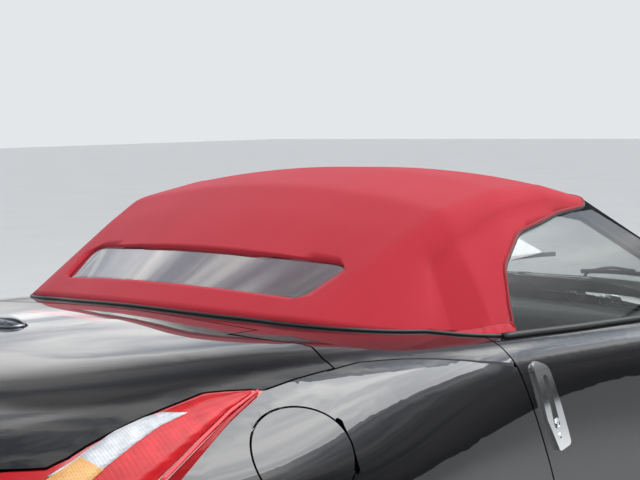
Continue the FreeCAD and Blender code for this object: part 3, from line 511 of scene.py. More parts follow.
# %% Cut the cloth
SIDE_WINDOW = (
    (0.180, 1.222), (-0.018, 1.219), (-0.190, 1.210), (-0.400, 1.174, 0.120), (-0.515, 1.100, 0.090),
    (-0.552, 1.010, 0.080), (-0.560, 0.800), (0.180, 0.800),
)
side_tool = tool_body("side_tool", outline(SIDE_WINDOW), lambda a, b, k: (a, -1.1 + 2.2 * k, b))
base, fourth = (Vector((h[0], 0, h[1])) for h in (HOOPS[5], HOOPS[4]))
slope = fourth - base
slope_up = slope.normalized()
slope_out = Vector((-slope_up.z, 0, slope_up.x))
REAR_WINDOW = (
    # share of the slope, y, corner radius: the lower edge, then the upper edge back again
    (0.335, -0.440, 0.040), (0.281, -0.30, 0), (0.247, -0.15, 0), (0.235, 0, 0),
    (0.247, 0.15, 0), (0.281, 0.30, 0), (0.335, 0.440, 0.040),
    (0.700, 0.485, 0.040), (0.646, 0.33, 0), (0.611, 0.16, 0), (0.600, 0, 0),
    (0.611, -0.16, 0), (0.646, -0.33, 0), (0.700, -0.485, 0.040),
)
rear_line = outline([(slope.length * s, y, r) for s, y, r in REAR_WINDOW])


def through_slope(a, b, k):
    """A place in the sloping rear panel; k goes from its inner to its outer side."""
    return tuple(base + slope_up * a + Vector((0, b, 0)) + slope_out * (0.3 * k - 0.2))


rear_tool = tool_body("rear_tool", rear_line, through_slope)
cut(top_cloth, side_tool, rear_tool, deck_tool(0.004))
edges = bmesh.new()
edges.from_mesh(top_cloth.data)
bmesh.ops.remove_doubles(edges, verts=edges.verts, dist=0.0005)
loose = [v for v in edges.verts if not v.link_faces]
bmesh.ops.delete(edges, geom=loose, context="VERTS")
edges.to_mesh(top_cloth.data)
edges.free()
print("cut cloth", len(top_cloth.data.polygons), "faces")

# %% [markdown]
# The rear window is a thin pane sewn in behind its opening. The easiest way to make it fit is to draw the
# same cloth surface 8 mm further in and keep only the part inside a slightly larger outline, with an
# Intersect.

# %% Rear pane
PANE_INSET, PANE_THICKNESS, PANE_MIDDLE = 0.008, 0.004, 0.46
pane = grid_object("rear_pane", cloth_rows(PANE_INSET))
center_a = slope.length * PANE_MIDDLE
wider = [(center_a + (a - center_a) * 1.16, y * 1.025) for a, y in rear_line]
cut(pane, tool_body("pane_tool", wider, through_slope), operation="INTERSECT")
thicken(pane, PANE_THICKNESS)
dress(rear_glass, "rear_pane")
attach(pane, "car_body")
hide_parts("rear_window")
print("rear pane", len(pane.data.polygons), "faces")

# %% [markdown]
# The open sheet's edges show where its trims go: the foot that meets the deck, the two side windows and the
# rear window. We walk along the edges that belong to one face only and sort them into lines.

# %% Lines along the cloth's edges
def edge_lines(mesh):
    """The open edges of a sheet, as lists of points."""
    bm = bmesh.new()
    bm.from_mesh(mesh)
    ways = {}
    for edge in bm.edges:
        if len(edge.link_faces) == 1:
            a, b = edge.verts
            ways.setdefault(a.index, []).append(b.index)
            ways.setdefault(b.index, []).append(a.index)
    places = {v.index: v.co.copy() for v in bm.verts}
    bm.free()
    lines = []
    while ways:
        start = min(ways)
        line = [start]
        here = start
        while ways.get(here):
            there = ways[here].pop()
            ways[there].remove(here)
            if not ways[here]:
                del ways[here]
            line.append(there)
            here = there
        if not ways.get(here, True):
            del ways[here]
        lines.append([places[i] for i in line])
    return sorted(lines, key=len, reverse=True)


cloth_lines = edge_lines(top_cloth.data)
print("edge lines", [(len(line), [round(c, 2) for c in line[0]]) for line in cloth_lines])

# %% [markdown]
# Cloth has a thickness, so a Solidify modifier gives it 5 mm inward. Its colour is a dull red with fine
# dark and bright threads. Threads are too fine to model, so the weave is a bump in the material, and a
# little sheen gives the pale bloom that woven fabric has where it turns away.

# %% Cloth thickness and finish
thicken(top_cloth, 0.005)
fabric = material("red_canvas", (0.38, 0.016, 0.027), Roughness=0.85, Sheen_Weight=0.16, Sheen_Roughness=0.5)
shader_of(fabric).inputs["Sheen Tint"].default_value = (1.0, 0.60, 0.68, 1)
shader_of(fabric).inputs["Specular IOR Level"].default_value = 0.22
tint(fabric, (0.345, 0.012, 0.022), (0.415, 0.020, 0.033), 6.0)
threads = use_group(fabric, weave, Threads_per_metre=700.0)
add_bump(fabric, threads.outputs["Height"], 0.25, 0.0006)
dress(fabric, "top_cloth")
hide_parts("soft_top")
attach(top_cloth, "car_body")

# %% [markdown]
# The other nodes get their first finishes here: rubber, wheel alloy, red and clear lamp lenses, black trim,
# leather, chrome, and the dull metal of the underside.

# %% Plain finishes of the other nodes
def worn(name, dark, light, scale, roughness, bump=0.0, size=0.001, grain=400.0, **values):
    """A finish between two shades, with a fine grain if `bump` is given."""
    made = material(name, dark, Roughness=roughness, **values)
    tint(made, dark, light, scale)
    if bump:
        grit = use_group(made, spread, Scale=grain)
        add_bump(made, grit.outputs["Mask"], bump, size)
    return made


rubber = worn("tyre_rubber", (0.010, 0.010, 0.011), (0.018, 0.018, 0.019), 9.0, 0.72, 0.2, 0.0006, 500.0)
alloy = worn(
    "wheel_alloy", (0.46, 0.47, 0.48), (0.60, 0.61, 0.62), 6.0, 0.27, 0.05, 0.0003, 300.0, Metallic=0.9
)
under = worn("underside", (0.012, 0.012, 0.013), (0.028, 0.027, 0.026), 4.0, 0.7, 0.3, 0.001, 200.0)
steel = worn(
    "cast_steel", (0.10, 0.10, 0.105), (0.18, 0.18, 0.185), 12.0, 0.45, 0.2, 0.0008, 250.0, Metallic=0.8
)
pipe = worn(
    "exhaust_steel", (0.42, 0.41, 0.40), (0.56, 0.55, 0.53), 8.0, 0.25, 0.05, 0.0004, 200.0, Metallic=1.0
)
trim = worn("black_trim", (0.010, 0.010, 0.011), (0.019, 0.019, 0.020), 20.0, 0.42, 0.25, 0.0004, 900.0)
leather = worn("leather", (0.020, 0.018, 0.017), (0.034, 0.031, 0.029), 5.0, 0.5, 0.45, 0.0009, 520.0)
chrome = worn("chrome", (0.72, 0.73, 0.74), (0.82, 0.83, 0.84), 4.0, 0.10, 0.02, 0.0002, 60.0, Metallic=1.0)
red_lens = worn(
    "red_lens", (0.36, 0.003, 0.006), (0.46, 0.006, 0.010), 8.0, 0.14, Coat_Weight=0.4, Coat_Roughness=0.04
)
clear_lens = worn(
    "clear_lens", (0.55, 0.57, 0.60), (0.72, 0.74, 0.77), 15.0, 0.08, Coat_Weight=1.0, Metallic=0.3
)
for finish, names in (
    (rubber, ["tyre_front_left", "tyre_front_right", "tyre_rear_left", "tyre_rear_right"]),
    (alloy, ["rim_front_left", "rim_front_right", "rim_rear_left", "rim_rear_right"]),
    (under, ["underbody", "floor_skin", "wheel_liners"]),
    (steel, ["knuckle_left", "knuckle_right", "front_subframe", "rear_subframe", "engine"]),
    (pipe, ["exhaust"]),
    (trim, ["grille", "dashboard", "top_frame", "steering_wheel"]),
    (leather, ["seats"]),
    (chrome, ["handle_left", "handle_right"]),
    (red_lens, ["tail_lamps", "stop_lamp"]),
    (clear_lens, ["headlamps"]),
):
    dress(finish, *names)
print("finishes", len(bpy.data.materials))

# %% [markdown]
# Several trims are thin and lie on the bodywork: the lens stripes, the seals and the seams. We place them
# like a slide projector would. A point of the picture gives a ray from the camera, and the ray's first
# hit on a named node gives a place on the surface. The piece is then a real strip that lies there, from
# any side.

# %% Rays through the picture
def first_hit(start, way, names):
    """The nearest hit of a ray on nodes or pieces, as (point, normal)."""
    best = None
    for name in names:
        target = nodes.get(name) or bpy.data.objects[name]
        hit, point, normal, _ = target.ray_cast(start, way)
        if hit and (best is None or (point - start).length < (best[0] - start).length):
            best = (point, normal)
    return best


def seen_at(px, py, names):
    """The place that a point of the picture shows, on the named nodes."""
    across, down = (px - PICTURE_WIDTH / 2) / FOCAL_PIXELS, (py - PICTURE_HEIGHT / 2) / FOCAL_PIXELS
    way = ahead + right_rolled * across - up_rolled * down
    return first_hit(camera.matrix_world.translation, way.normalized(), names)


def dropped(x, y, names, height=1.2):
    """Where a plumb bob that hangs from the given height meets the named nodes."""
    return first_hit(Vector((x, y, height)), Vector((0, 0, -1)), names)


def spaced(line, count):
    """The line cut into equal steps."""
    line = [Vector(p) for p in line]
    lengths = [0.0]
    for a, b in zip(line, line[1:]):
        lengths.append(lengths[-1] + (b - a).length)
    result = []
    for i in range(count):
        goal = lengths[-1] * i / (count - 1)
        k = max(j for j in range(len(lengths) - 1) if lengths[j] <= goal + 1e-9)
        share = (goal - lengths[k]) / max(lengths[k + 1] - lengths[k], 1e-9)
        result.append(line[k].lerp(line[k + 1], share))
    return result


def finished(piece, finish, body):
    """Gives a piece its material and its slot, and the body that it rides on."""
    dress(finish, piece.name)
    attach(piece, body)
    return piece


def mirror_copy(piece, name, finish, body):
    """The same piece on the other side of the car."""
    points = [(v.co.x, -v.co.y, v.co.z) for v in piece.data.vertices]
    faces = [tuple(reversed(p.vertices)) for p in piece.data.polygons]
    return finished(mesh_object(name, points, faces), finish, body)


print("deck at the picture's middle", seen_at(320, 340, BODYWORK))

# %% [markdown]
# A lens stripe is a thin plate: an outer face through rows of points, an inner face a few millimetres
# below it and a rim that closes them. The rows come from two lines of the picture and the spots between
# them.

# %% Plates and strips
def sheet_of(name, rows, thickness):
    """A thin plate whose outer face runs through rows of points, closed all round."""
    width, count = len(rows[0]), len(rows)
    outer = [p for row in rows for p in row]
    inner = []
    for i in range(count):
        for k in range(width):
            a = rows[max(i - 1, 0)][k]
            b = rows[min(i + 1, count - 1)][k]
            c = rows[i][max(k - 1, 0)]
            d = rows[i][min(k + 1, width - 1)]
            normal = (b - a).cross(d - c).normalized()
            inner.append(rows[i][k] - normal * thickness)
    size = width * count
    faces = []
    for i in range(count - 1):
        for k in range(width - 1):
            a, b = i * width + k, i * width + k + 1
            c, d = b + width, a + width
            faces += [(a, d, c, b), (size + a, size + b, size + c, size + d)]
    rim = list(range(width)) + [i * width + width - 1 for i in range(1, count)]
    rim += [(count - 1) * width + k for k in range(width - 2, -1, -1)]
    rim += [i * width for i in range(count - 2, 0, -1)]
    for a, b in zip(rim, rim[1:] + rim[:1]):
        faces.append((a, b, size + b, size + a))
    return mesh_object(name, outer + inner, faces)


def whole_columns(rows):
    """Leaves out the columns in which a ray has missed."""
    keep = [k for k in range(len(rows[0])) if all(row[k] is not None for row in rows)]
    return [[row[k] for k in keep] for row in rows]


def picture_strip(name, upper, lower, names, lift, thickness, columns=26, rows=5):
    """A strip between two lines of the picture, laid on the named nodes and lifted off them a little."""
    top, bottom = spaced([(*p, 0) for p in upper], columns), spaced([(*p, 0) for p in lower], columns)
    grid = []
    for i in range(rows):
        row = []
        for a, b in zip(top, bottom):
            spot = a.lerp(b, i / (rows - 1))
            hit = seen_at(spot.x, spot.y, names)
            row.append(hit[0] + hit[1] * lift if hit else None)
        grid.append(row)
    return sheet_of(name, whole_columns(grid), thickness)


# %% [markdown]
# Seals, pipings, wiper arms and stitches are bars. A ring of eight points is carried along a line and
# turned with it, and rings that follow each other are joined by faces.

# %% Bars
def tube(name, line, radius, closed=False, smooth_rounds=0, flat=1.0):
    """A bar of round or oval section along a line of points."""
    line = [p.copy() for p in line]
    for _ in range(smooth_rounds):
        middle = [(line[i - 1] + line[i] * 2 + line[i + 1]) / 4 for i in range(1, len(line) - 1)]
        line = [line[0]] + middle + [line[-1]]
    sides = 8
    points, faces = [], []
    for i, p in enumerate(line):
        if closed:
            along = (line[(i + 1) % len(line)] - line[i - 1]).normalized()
        else:
            along = (line[min(i + 1, len(line) - 1)] - line[max(i - 1, 0)]).normalized()
        side = along.cross(Vector((0, 0, 1)))
        side = side.normalized() if side.length > 0.05 else Vector((0, 1, 0))
        rise = side.cross(along)
        for k in range(sides):
            turn_by = 2 * math.pi * k / sides
            across, over = radius * math.cos(turn_by), radius * flat * math.sin(turn_by)
            points.append(p + side * across + rise * over)
    spans = len(line) if closed else len(line) - 1
    for i in range(spans):
        j = (i + 1) % len(line)
        for k in range(sides):
            m = (k + 1) % sides
            faces.append((i * sides + k, i * sides + m, j * sides + m, j * sides + k))
    if not closed:
        faces += [tuple(range(sides))[::-1], tuple(range((len(line) - 1) * sides, len(line) * sides))]
    return mesh_object(name, points, faces)


# %% [markdown]
# The cloth's foot rests on a black rubber seal, and its window edges are bound with piping. The outer edge
# line is one closed loop, so we split it: points close to the deck are foot, the others beside the glass
# are binding. Inside each side window's piping, a black seal also fills the gap between cloth and glass
# with painted shade. The black ring round the rear window is a seal, and along its top edge it is also a
# painted shadow of the cloth.

# %% Seal and piping
outer_line, rear_line_3d = cloth_lines[0], cloth_lines[1]


def ease(value, low=0.0, high=1.0):
    """A smooth step from 0 to 1 between two values."""
    t = min(max((value - low) / (high - low), 0), 1)
    return t * t * (3 - 2 * t)


def is_foot(p):
    z = deck_height(p.x, p.y)
    return z is not None and abs(p.z - z - 0.004) < 0.012 and p.x < -0.5


flags = [is_foot(p) for p in outer_line]
foot = sorted((p for p, f in zip(outer_line, flags) if f), key=lambda p: math.atan2(p.y, -(p.x + 0.55)))
foot_line = []
for p in foot:
    if p.x < -0.80 and (not foot_line or (p - foot_line[-1]).length > 0.012):
        foot_line.append(p)
seal_points = []
for p in foot_line:
    out = Vector((p.x + 0.60, p.y, 0)).normalized()
    q = p + out * 0.001
    z = deck_height(q.x, q.y)
    seal_points.append(Vector((q.x, q.y, (z if z else p.z) + 0.0025)))
SEAL_LIFT = 0.0025
SEAL_CORNER = ((428, 332.4), (449, 334.4), (470, 335.9), (487, 336.6), (502, 336.6), (511, 335.4))
corner = [seen_at(px, py, BODYWORK) for px, py in SEAL_CORNER]
corner = [hit[0] + hit[1] * SEAL_LIFT for hit in corner if hit]
corner_left = [Vector((p.x, -p.y, p.z)) for p in corner]
if seal_points[0].y < 0:
    seal_points = corner[::-1] + seal_points + corner_left
else:
    seal_points = corner_left[::-1] + seal_points + corner
seal = tube("top_seal", spaced(seal_points, 150), 0.0040, smooth_rounds=5)
finished(seal, trim, "car_body")
binding_red = material("binding_canvas", (0.26, 0.010, 0.017), Roughness=0.88, Sheen_Weight=0.12)
binding_threads = use_group(binding_red, weave, Threads_per_metre=500.0)
add_bump(binding_red, binding_threads.outputs["Height"], 0.3, 0.0006)
for label, sign in (("right", -1), ("left", 1)):
    edge = [p for p, f in zip(outer_line, flags) if not f and p.y * sign > 0.45 and p.x < 0.046]
    edge.sort(key=lambda p: math.atan2(p.z - 0.95, p.x + 0.25), reverse=True)
    edge = [p + Vector((0, 0.001 * sign, 0)) for p in edge if p.z > 0.955]
    piping = tube(f"window_piping_{label}", edge, 0.0042, smooth_rounds=4)
    finished(piping, binding_red, "car_body")
    # A black rubber seal; it also stands for the shade in the gap between cloth and glass, as painted shade.
    inner = [p + Vector((0.006, -0.002 * sign, -0.006)) for p in edge]
    finished(tube(f"window_seal_{label}", inner, 0.0045, smooth_rounds=4), trim, "car_body")
rear_loop = rear_line_3d[:-1] if (rear_line_3d[0] - rear_line_3d[-1]).length < 1e-5 else rear_line_3d
# A black seal ring; along the window's top edge it also stands for the cloth's shadow, as painted shadow.
rear_seal_and_shadow = tube("rear_window_seal", [p - slope_out * 0.004 for p in rear_loop], 0.0042, closed=True)
finished(rear_seal_and_shadow, trim, "car_body")
print("foot points", len(seal_points), "binding points", len(edge))

# %% [markdown]
# At each rear corner of a door the cloth ends in a small gathered tail that covers the gap between the
# top, the deck and the glass. It is laid on the bodywork at its lower edge and on the cloth at its upper
# edge, and waves in between give the gathers.

# %% Gathered corners
bpy.context.view_layer.update()
upper = [(452, 332), (468, 330), (482, 328), (494, 325), (505, 323.5), (513, 323)]
lower = [(452, 334.2), (468, 335.6), (482, 336.6), (494, 336.6), (505, 335.6), (516, 333.2)]
columns, rows_count = 40, 9
tops = spaced([(*p, 0) for p in upper], columns)
lows = spaced([(*p, 0) for p in lower], columns)
grid = []
for i in range(rows_count):
    row = []
    share = i / (rows_count - 1)
    for k, (a, c) in enumerate(zip(tops, lows)):
        high = seen_at(a.x, a.y, ["top_cloth"]) or seen_at(a.x - 4, a.y, ["top_cloth"])
        low = seen_at(c.x, c.y, BODYWORK)
        if not high or not low:
            row.append(None)
            continue
        start_at = high[0] + high[1] * 0.0022
        end_at = low[0] + low[1] * 0.005
        p = start_at.lerp(end_at, share)
        gather = 0.0024 * math.sin(k * 0.95 + 1.5 * share) * ease(k / columns) * math.sin(math.pi * share)
        swell = 0.0035 * math.sin(math.pi * share) * ease(k / columns)
        row.append(p + (high[1] + low[1]).normalized() * (gather + swell))
    grid.append(row)
grid = whole_columns(grid)
gathered = sheet_of("gathered_corner_right", grid, 0.002)
for piece in (gathered, mirror_copy(gathered, "gathered_corner_left", fabric, "car_body")):
    finished(piece, fabric, "car_body")

# %% [markdown]
# The tail lamp's lens is one red shell on the real car, moulded with a clear stripe for the reversing
# light, an amber corner, a raised red field of small prisms and a smooth band along the lower edge. Each
# is a strip laid on the lens. A thin ridge above the band is a brighter red, which is a painted highlight.
# The prisms are a bump of fine waves in the material.

# %% Tail lamps
def ribbed(name, color, roughness, waves_per_metre, depth, **values):
    """A lens with fine moulded ribs."""
    made = material(name, color, Roughness=roughness, Coat_Weight=0.20, Coat_Roughness=0.04, **values)
    shader_of(made).inputs["Specular IOR Level"].default_value = 0.12
    ribs = use_group(made, weave, Threads_per_metre=waves_per_metre)
    add_bump(made, ribs.outputs["Height"], 0.5, depth)
    return made


clear_ribs = ribbed("clear_ribs", (0.50, 0.51, 0.54), 0.22, 45.0, 0.0025)
amber_ribs = ribbed("amber_ribs", (0.62, 0.30, 0.09), 0.25, 60.0, 0.0020)
red_ribs = ribbed("red_ribs", (0.44, 0.005, 0.010), 0.30, 28.0, 0.0016)
tint(clear_ribs, (0.20, 0.21, 0.23), (0.78, 0.79, 0.82), 34.0)
tint(red_ribs, (0.28, 0.002, 0.005), (0.66, 0.020, 0.028), 26.0)
tint(amber_ribs, (0.50, 0.20, 0.05), (0.80, 0.52, 0.22), 40.0)
red_smooth = ribbed("red_band", (0.34, 0.003, 0.006), 0.15, 8.0, 0.0002)
# The ridge is moulded, but its brighter red is a painted highlight along it.
ridge_highlight_red = ribbed("red_ridge", (0.75, 0.06, 0.07), 0.2, 30.0, 0.0004)
LAMP = ["tail_lamps"]
LAMP_STRIPS = (
    # name, finish, lift, slot, upper line in the picture, lower line
    ("lamp_field", red_ribs, 0.0030, "lamp_red",
     [(250, 393), (205, 398), (170, 411), (120, 437), (62, 470), (42, 482), (30, 492)],
     [(251, 395), (227, 412), (200, 437), (180, 458), (158, 479), (146, 494), (142, 500)]),
    ("lamp_clear", clear_ribs, 0.0042, "lamp_clear",
     [(186, 416), (160, 416), (142, 421.5), (113, 435), (87, 453), (71, 465), (47, 479)],
     [(184, 417), (158, 429.5), (132, 448), (117, 460), (105, 469), (98, 475), (90, 482)]),
    ("lamp_amber", amber_ribs, 0.0052, "lamp_red",
     [(80, 461), (66, 470), (50, 480), (34, 491)],
     [(102, 473), (94, 480), (86, 487), (78, 495)]),
    # the raised ridge, whose brighter red is a painted highlight
    ("lamp_ridge", ridge_highlight_red, 0.0036, "lamp_red",
     [(257, 392), (228, 412.5), (201, 438.5), (181, 459.5), (159, 481)],
     [(257.5, 393.5), (230, 414.5), (203.5, 440.5), (183.5, 461.5), (162, 483)]),
    ("lamp_band", red_smooth, 0.0020, "lamp_red",
     [(257, 394), (232, 415), (205, 441.5), (185.5, 462), (165, 483)],
     [(258, 395.5), (234, 418), (208, 444), (189, 463), (178, 484)]),
)
for name, finish, lift, slot_name, upper, lower in LAMP_STRIPS:
    piece = picture_strip(name + "_right", upper, lower, LAMP, lift, lift + 0.001)
    finished(piece, finish, "car_body")
    mirror_copy(piece, name + "_left", finish, "car_body")
print("lamp strips", len(LAMP_STRIPS) * 2)

# %% [markdown]
# A black rubber strip seals each side window along the door's top. We drop rays on the door to find its
# height, and build the strip as an oval bar that follows it.

# %% Belt seals
SIDES = (("right", -1), ("left", 1))
for label, sign in SIDES:
    line = []
    for i in range(34):
        x = -0.640 + i * 0.0325
        y = sign * (0.772 - 0.00002 * i * i)
        hit = dropped(x, y, [f"door_{label}"])
        if hit:
            line.append(hit[0] + Vector((0, 0, 0.004)))
    belt = tube(f"belt_seal_{label}", line, 0.0105, smooth_rounds=3, flat=0.7)
    finished(belt, trim, f"door_{label}")
print("belt points", len(line))

# %% [markdown]
# Turned pieces are everywhere on a car: tyres, nuts, caps, lamp bowls and dials. `lathe` takes a profile of
# (distance along the axis, radius) pairs and turns it about a line. With six steps it makes a nut.

# %% The lathe
def lathe(name, profile, center, axis, steps=48, closed=False, smooth=True):
    """Turns a profile about an axis; a closed profile gives a ring."""
    axis = Vector(axis).normalized()
    side = axis.orthogonal().normalized()
    other = axis.cross(side)
    points, faces = [], []
    count = len(profile)
    for k in range(steps):
        angle = 2 * math.pi * k / steps
        way = side * math.cos(angle) + other * math.sin(angle)
        points += [Vector(center) + axis * a + way * r for a, r in profile]
    for k in range(steps):
        j = (k + 1) % steps
        for i in range(count if closed else count - 1):
            m = (i + 1) % count
            faces.append((k * count + i, k * count + m, j * count + m, j * count + i))
    if not closed:
        for i in (0, count - 1):
            if profile[i][1] > 1e-6:
                faces.append(tuple(k * count + i for k in range(steps)))
    return face_out(mesh_object(name, points, faces, smooth), merge=1e-6)


def joined(name, pieces):
    """Several meshes made into one object."""
    points, faces = [], []
    for piece in pieces:
        first = len(points)
        points += [v.co.copy() for v in piece.data.vertices]
        faces += [tuple(first + i for i in p.vertices) for p in piece.data.polygons]
        bpy.data.objects.remove(piece)
    return mesh_object(name, points, faces)


# %% [markdown]
# A road tyre has ribs parted by deep grooves, and cross cuts that part each rib into blocks. We could cut
# them with Booleans, but a tyre is a grid already, so each point's radius is simply looked up: small in a
# groove, full on a block. The cross cuts lean in a V, which shows which way the wheel should turn.

# %% Tyres
TREAD_RADIUS, GROOVE, BLOCKS = 0.339, 0.0065, 68
SIDE_PROFILE = (
    # distance from the tyre's widest place, radius: from the rim's bead to the tread's shoulder
    (-0.0090, 0.2508), (-0.0060, 0.2560), (-0.0035, 0.2620), (-0.0045, 0.2640), (-0.0012, 0.2730),
    (0.0002, 0.2850), (0.0004, 0.2960), (-0.0012, 0.3080), (-0.0030, 0.3110), (-0.0032, 0.3135),
    (-0.0070, 0.3220), (-0.0120, 0.3290), (-0.0190, 0.3345), (-0.0260, 0.3372),
)


def tyre(name, x, y, width, out):
    """One tyre about the wheel's axis; `out` is +1 or -1, the way its outer side faces."""
    half = width / 2
    profile = [(half + a, r, 0) for a, r in SIDE_PROFILE]
    crown = half - 0.030
    cuts = [-0.62, -0.22, 0.22, 0.62]
    for i in range(29):
        a = crown - 2 * crown * i / 28
        deep = any(abs(a / crown - c) < 0.062 for c in cuts)
        radius = TREAD_RADIUS - 0.0009 * (a / crown) ** 2
        profile.append((a, radius - (GROOVE if deep else 0), 0 if deep else 1))
    profile += [(-half - a, r, 0) for a, r in reversed(SIDE_PROFILE)]
    stops = (0.0, 0.10, 0.13, 0.55, 0.58)
    points, faces = [], []
    count = len(profile)
    steps = BLOCKS * len(stops)
    for block in range(BLOCKS):
        for stop in stops:
            for a, r, rib in profile:
                lean = 0.9 * abs(a) / half if rib else 0
                angle = 2 * math.pi * (block + stop + lean) / BLOCKS
                in_cut = rib and stop in (0.0, 0.10) and abs(a) > 0.24 * crown
                radius = r - (GROOVE * 0.8 if in_cut else 0)
                forward, upward = radius * math.sin(angle), radius * math.cos(angle)
                points.append((x + forward, y + out * a, TREAD_RADIUS + upward))
    for k in range(steps):
        j = (k + 1) % steps
        for i in range(count):
            m = (i + 1) % count
            faces.append((k * count + i, k * count + m, j * count + m, j * count + i))
    return face_out(mesh_object(name, points, faces), crease=0.7)


WHEELS = (
    # end, side, axle x, wheel centre y, tyre width, hub face's distance outward from the centre
    ("front", "left", 1.297, 0.770, 0.245, 0.0785), ("front", "right", 1.297, -0.770, 0.245, 0.0785),
    ("rear", "left", -1.253, 0.776, 0.275, 0.0935), ("rear", "right", -1.253, -0.776, 0.275, 0.0935),
)
NUT = ((-0.002, 0.0110), (0.010, 0.0110), (0.0135, 0.0085), (0.0150, 0.0))
NUT_COUNT, NUT_CIRCLE = 5, 0.045
HUB_CAP = (
    (-0.001, 0.0290), (0.006, 0.0290), (0.0085, 0.0270), (0.0085, 0.0240), (0.0070, 0.0225), (0.0105, 0.0120),
    (0.0115, 0.0),
)
for end_name, side_name, x, y, width, hub in WHEELS:
    out = 1 if y > 0 else -1
    body_name = f"wheel_{end_name}_{side_name}"
    piece = tyre(f"tread_{end_name}_{side_name}", x, y, width, out)
    finished(piece, rubber, body_name)
    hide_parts(f"tyre_{end_name}_{side_name}")
    face_y = y + out * hub
    nuts = []
    for k in range(NUT_COUNT):
        angle = math.radians(360 / NUT_COUNT * k + 36)
        at = (x + NUT_CIRCLE * math.sin(angle), face_y, TREAD_RADIUS + NUT_CIRCLE * math.cos(angle))
        nuts.append(lathe("nut", NUT, at, (0, out, 0), steps=6, smooth=False))
    finished(joined(f"nuts_{end_name}_{side_name}", nuts), steel, body_name)
    cap = lathe(f"hub_cap_{end_name}_{side_name}", HUB_CAP, (x, face_y, TREAD_RADIUS), (0, out, 0))
    finished(cap, alloy, body_name)
print("tyres", len(WHEELS), "blocks each", BLOCKS)

# %% [markdown]
# A seat is foam in a sewn cover. The real cover is stretched over the foam and pulled in at its seams, so
# its surface is full between seams. We start from a rounded form that is a little too thin, turn it into
# an even mesh, and let Blender's Cloth blow it up from inside. Then the seams and channels are pressed
# in.

# %% Tools for padding
def rounded_form(name, size, power=5.0, cuts=14):
    """A closed block with soft edges, from a cube whose points are pulled toward a round shape."""
    made = mesh_object(name, [], [])
    bm = bmesh.new()
    bmesh.ops.create_cube(bm, size=2.0)
    bmesh.ops.subdivide_edges(bm, edges=bm.edges, cuts=cuts, use_grid_fill=True)
    for v in bm.verts:
        length = (abs(v.co.x) ** power + abs(v.co.y) ** power + abs(v.co.z) ** power) ** (1 / power)
        v.co = Vector((v.co.x / length * size[0], v.co.y / length * size[1], v.co.z / length * size[2]))
    bm.to_mesh(made.data)
    bm.free()
    return made


CLOTH_FRAMES = 20


def blow_up(piece, pressure=4.0, voxel=0.0075, cap=0.012):
    """Runs Cloth with inner pressure, keeps its result and limits how far a point may move."""
    remesh = piece.modifiers.new("even", "REMESH")
    remesh.mode = "VOXEL"
    remesh.voxel_size = voxel
    apply_modifiers(piece)
    start = [v.co.copy() for v in piece.data.vertices]
    cloth = piece.modifiers.new("cloth", "CLOTH")
    cloth.settings.use_pressure = True
    cloth.settings.uniform_pressure_force = pressure
    cloth.settings.quality = 4
    cloth.settings.effector_weights.gravity = 0
    cloth.point_cache.frame_start, cloth.point_cache.frame_end = 1, CLOTH_FRAMES
    for number in range(1, CLOTH_FRAMES + 1):
        scene.frame_set(number)
    apply_modifiers(piece)
    scene.frame_set(1)
    for v, p in zip(piece.data.vertices, start):
        move = v.co - p
        if move.length > cap:
            v.co = p + move * (cap / move.length)
    for polygon in piece.data.polygons:
        polygon.use_smooth = True


def press_seams(piece, depth_at):
    """Moves each point against its normal by the depth that depth_at(point) gives."""
    moves = [(v, v.normal.copy(), depth_at(v.co)) for v in piece.data.vertices]
    for v, normal, depth in moves:
        v.co -= normal * depth


def groove(distance, width):
    """How deep a seam is at a distance from its middle, from 1 to 0."""
    return math.exp(-(distance / width) ** 2)


# %% [markdown]
# The left seat is made of three forms, in their own coordinates: the cushion lies, the back stands with x
# as its front, and the head rest stands above it. The bolsters stand up at the sides. Seams part them
# from the middle, which has channels across. A matrix then takes each form to its place, and the back
# leans 14 degrees.

# %% Seat forms
SEAT_Y = 0.388
SEAM_DEPTH, SEAM_WIDTH = 0.007, 0.006
CHANNEL_DEPTH, CHANNEL_WIDTH = 0.005, 0.005
HINGE = Matrix.Translation((-0.500, SEAT_Y, 0.380))
lean = Matrix.Rotation(math.radians(-14), 4, "Y")


def channels(along, places):
    """How deep the channels across a seat are at one place along it."""
    return sum(groove(along - c, CHANNEL_WIDTH) for c in places)


cushion = rounded_form("seat_cushion_left", (0.252, 0.236, 0.052))
for v in cushion.data.vertices:
    side = ease(abs(v.co.y), 0.135, 0.215)
    front = ease(v.co.x, 0.12, 0.25)
    if v.co.z > 0:
        v.co.z += 0.026 * side - 0.014 * (1 - side) - 0.012 * front
    v.co.y *= 1 - 0.05 * ease(-v.co.x, 0.0, 0.25)
blow_up(cushion)
press_seams(cushion, lambda p: (
    SEAM_DEPTH * groove(abs(p.y) - 0.150, SEAM_WIDTH) * (p.z > 0)
    + CHANNEL_DEPTH * channels(p.x, (-0.14, -0.05, 0.04, 0.13)) * (p.z > 0) * (abs(p.y) < 0.148)
))
cushion.data.transform(Matrix.Translation((-0.205, SEAT_Y, 0.368)))

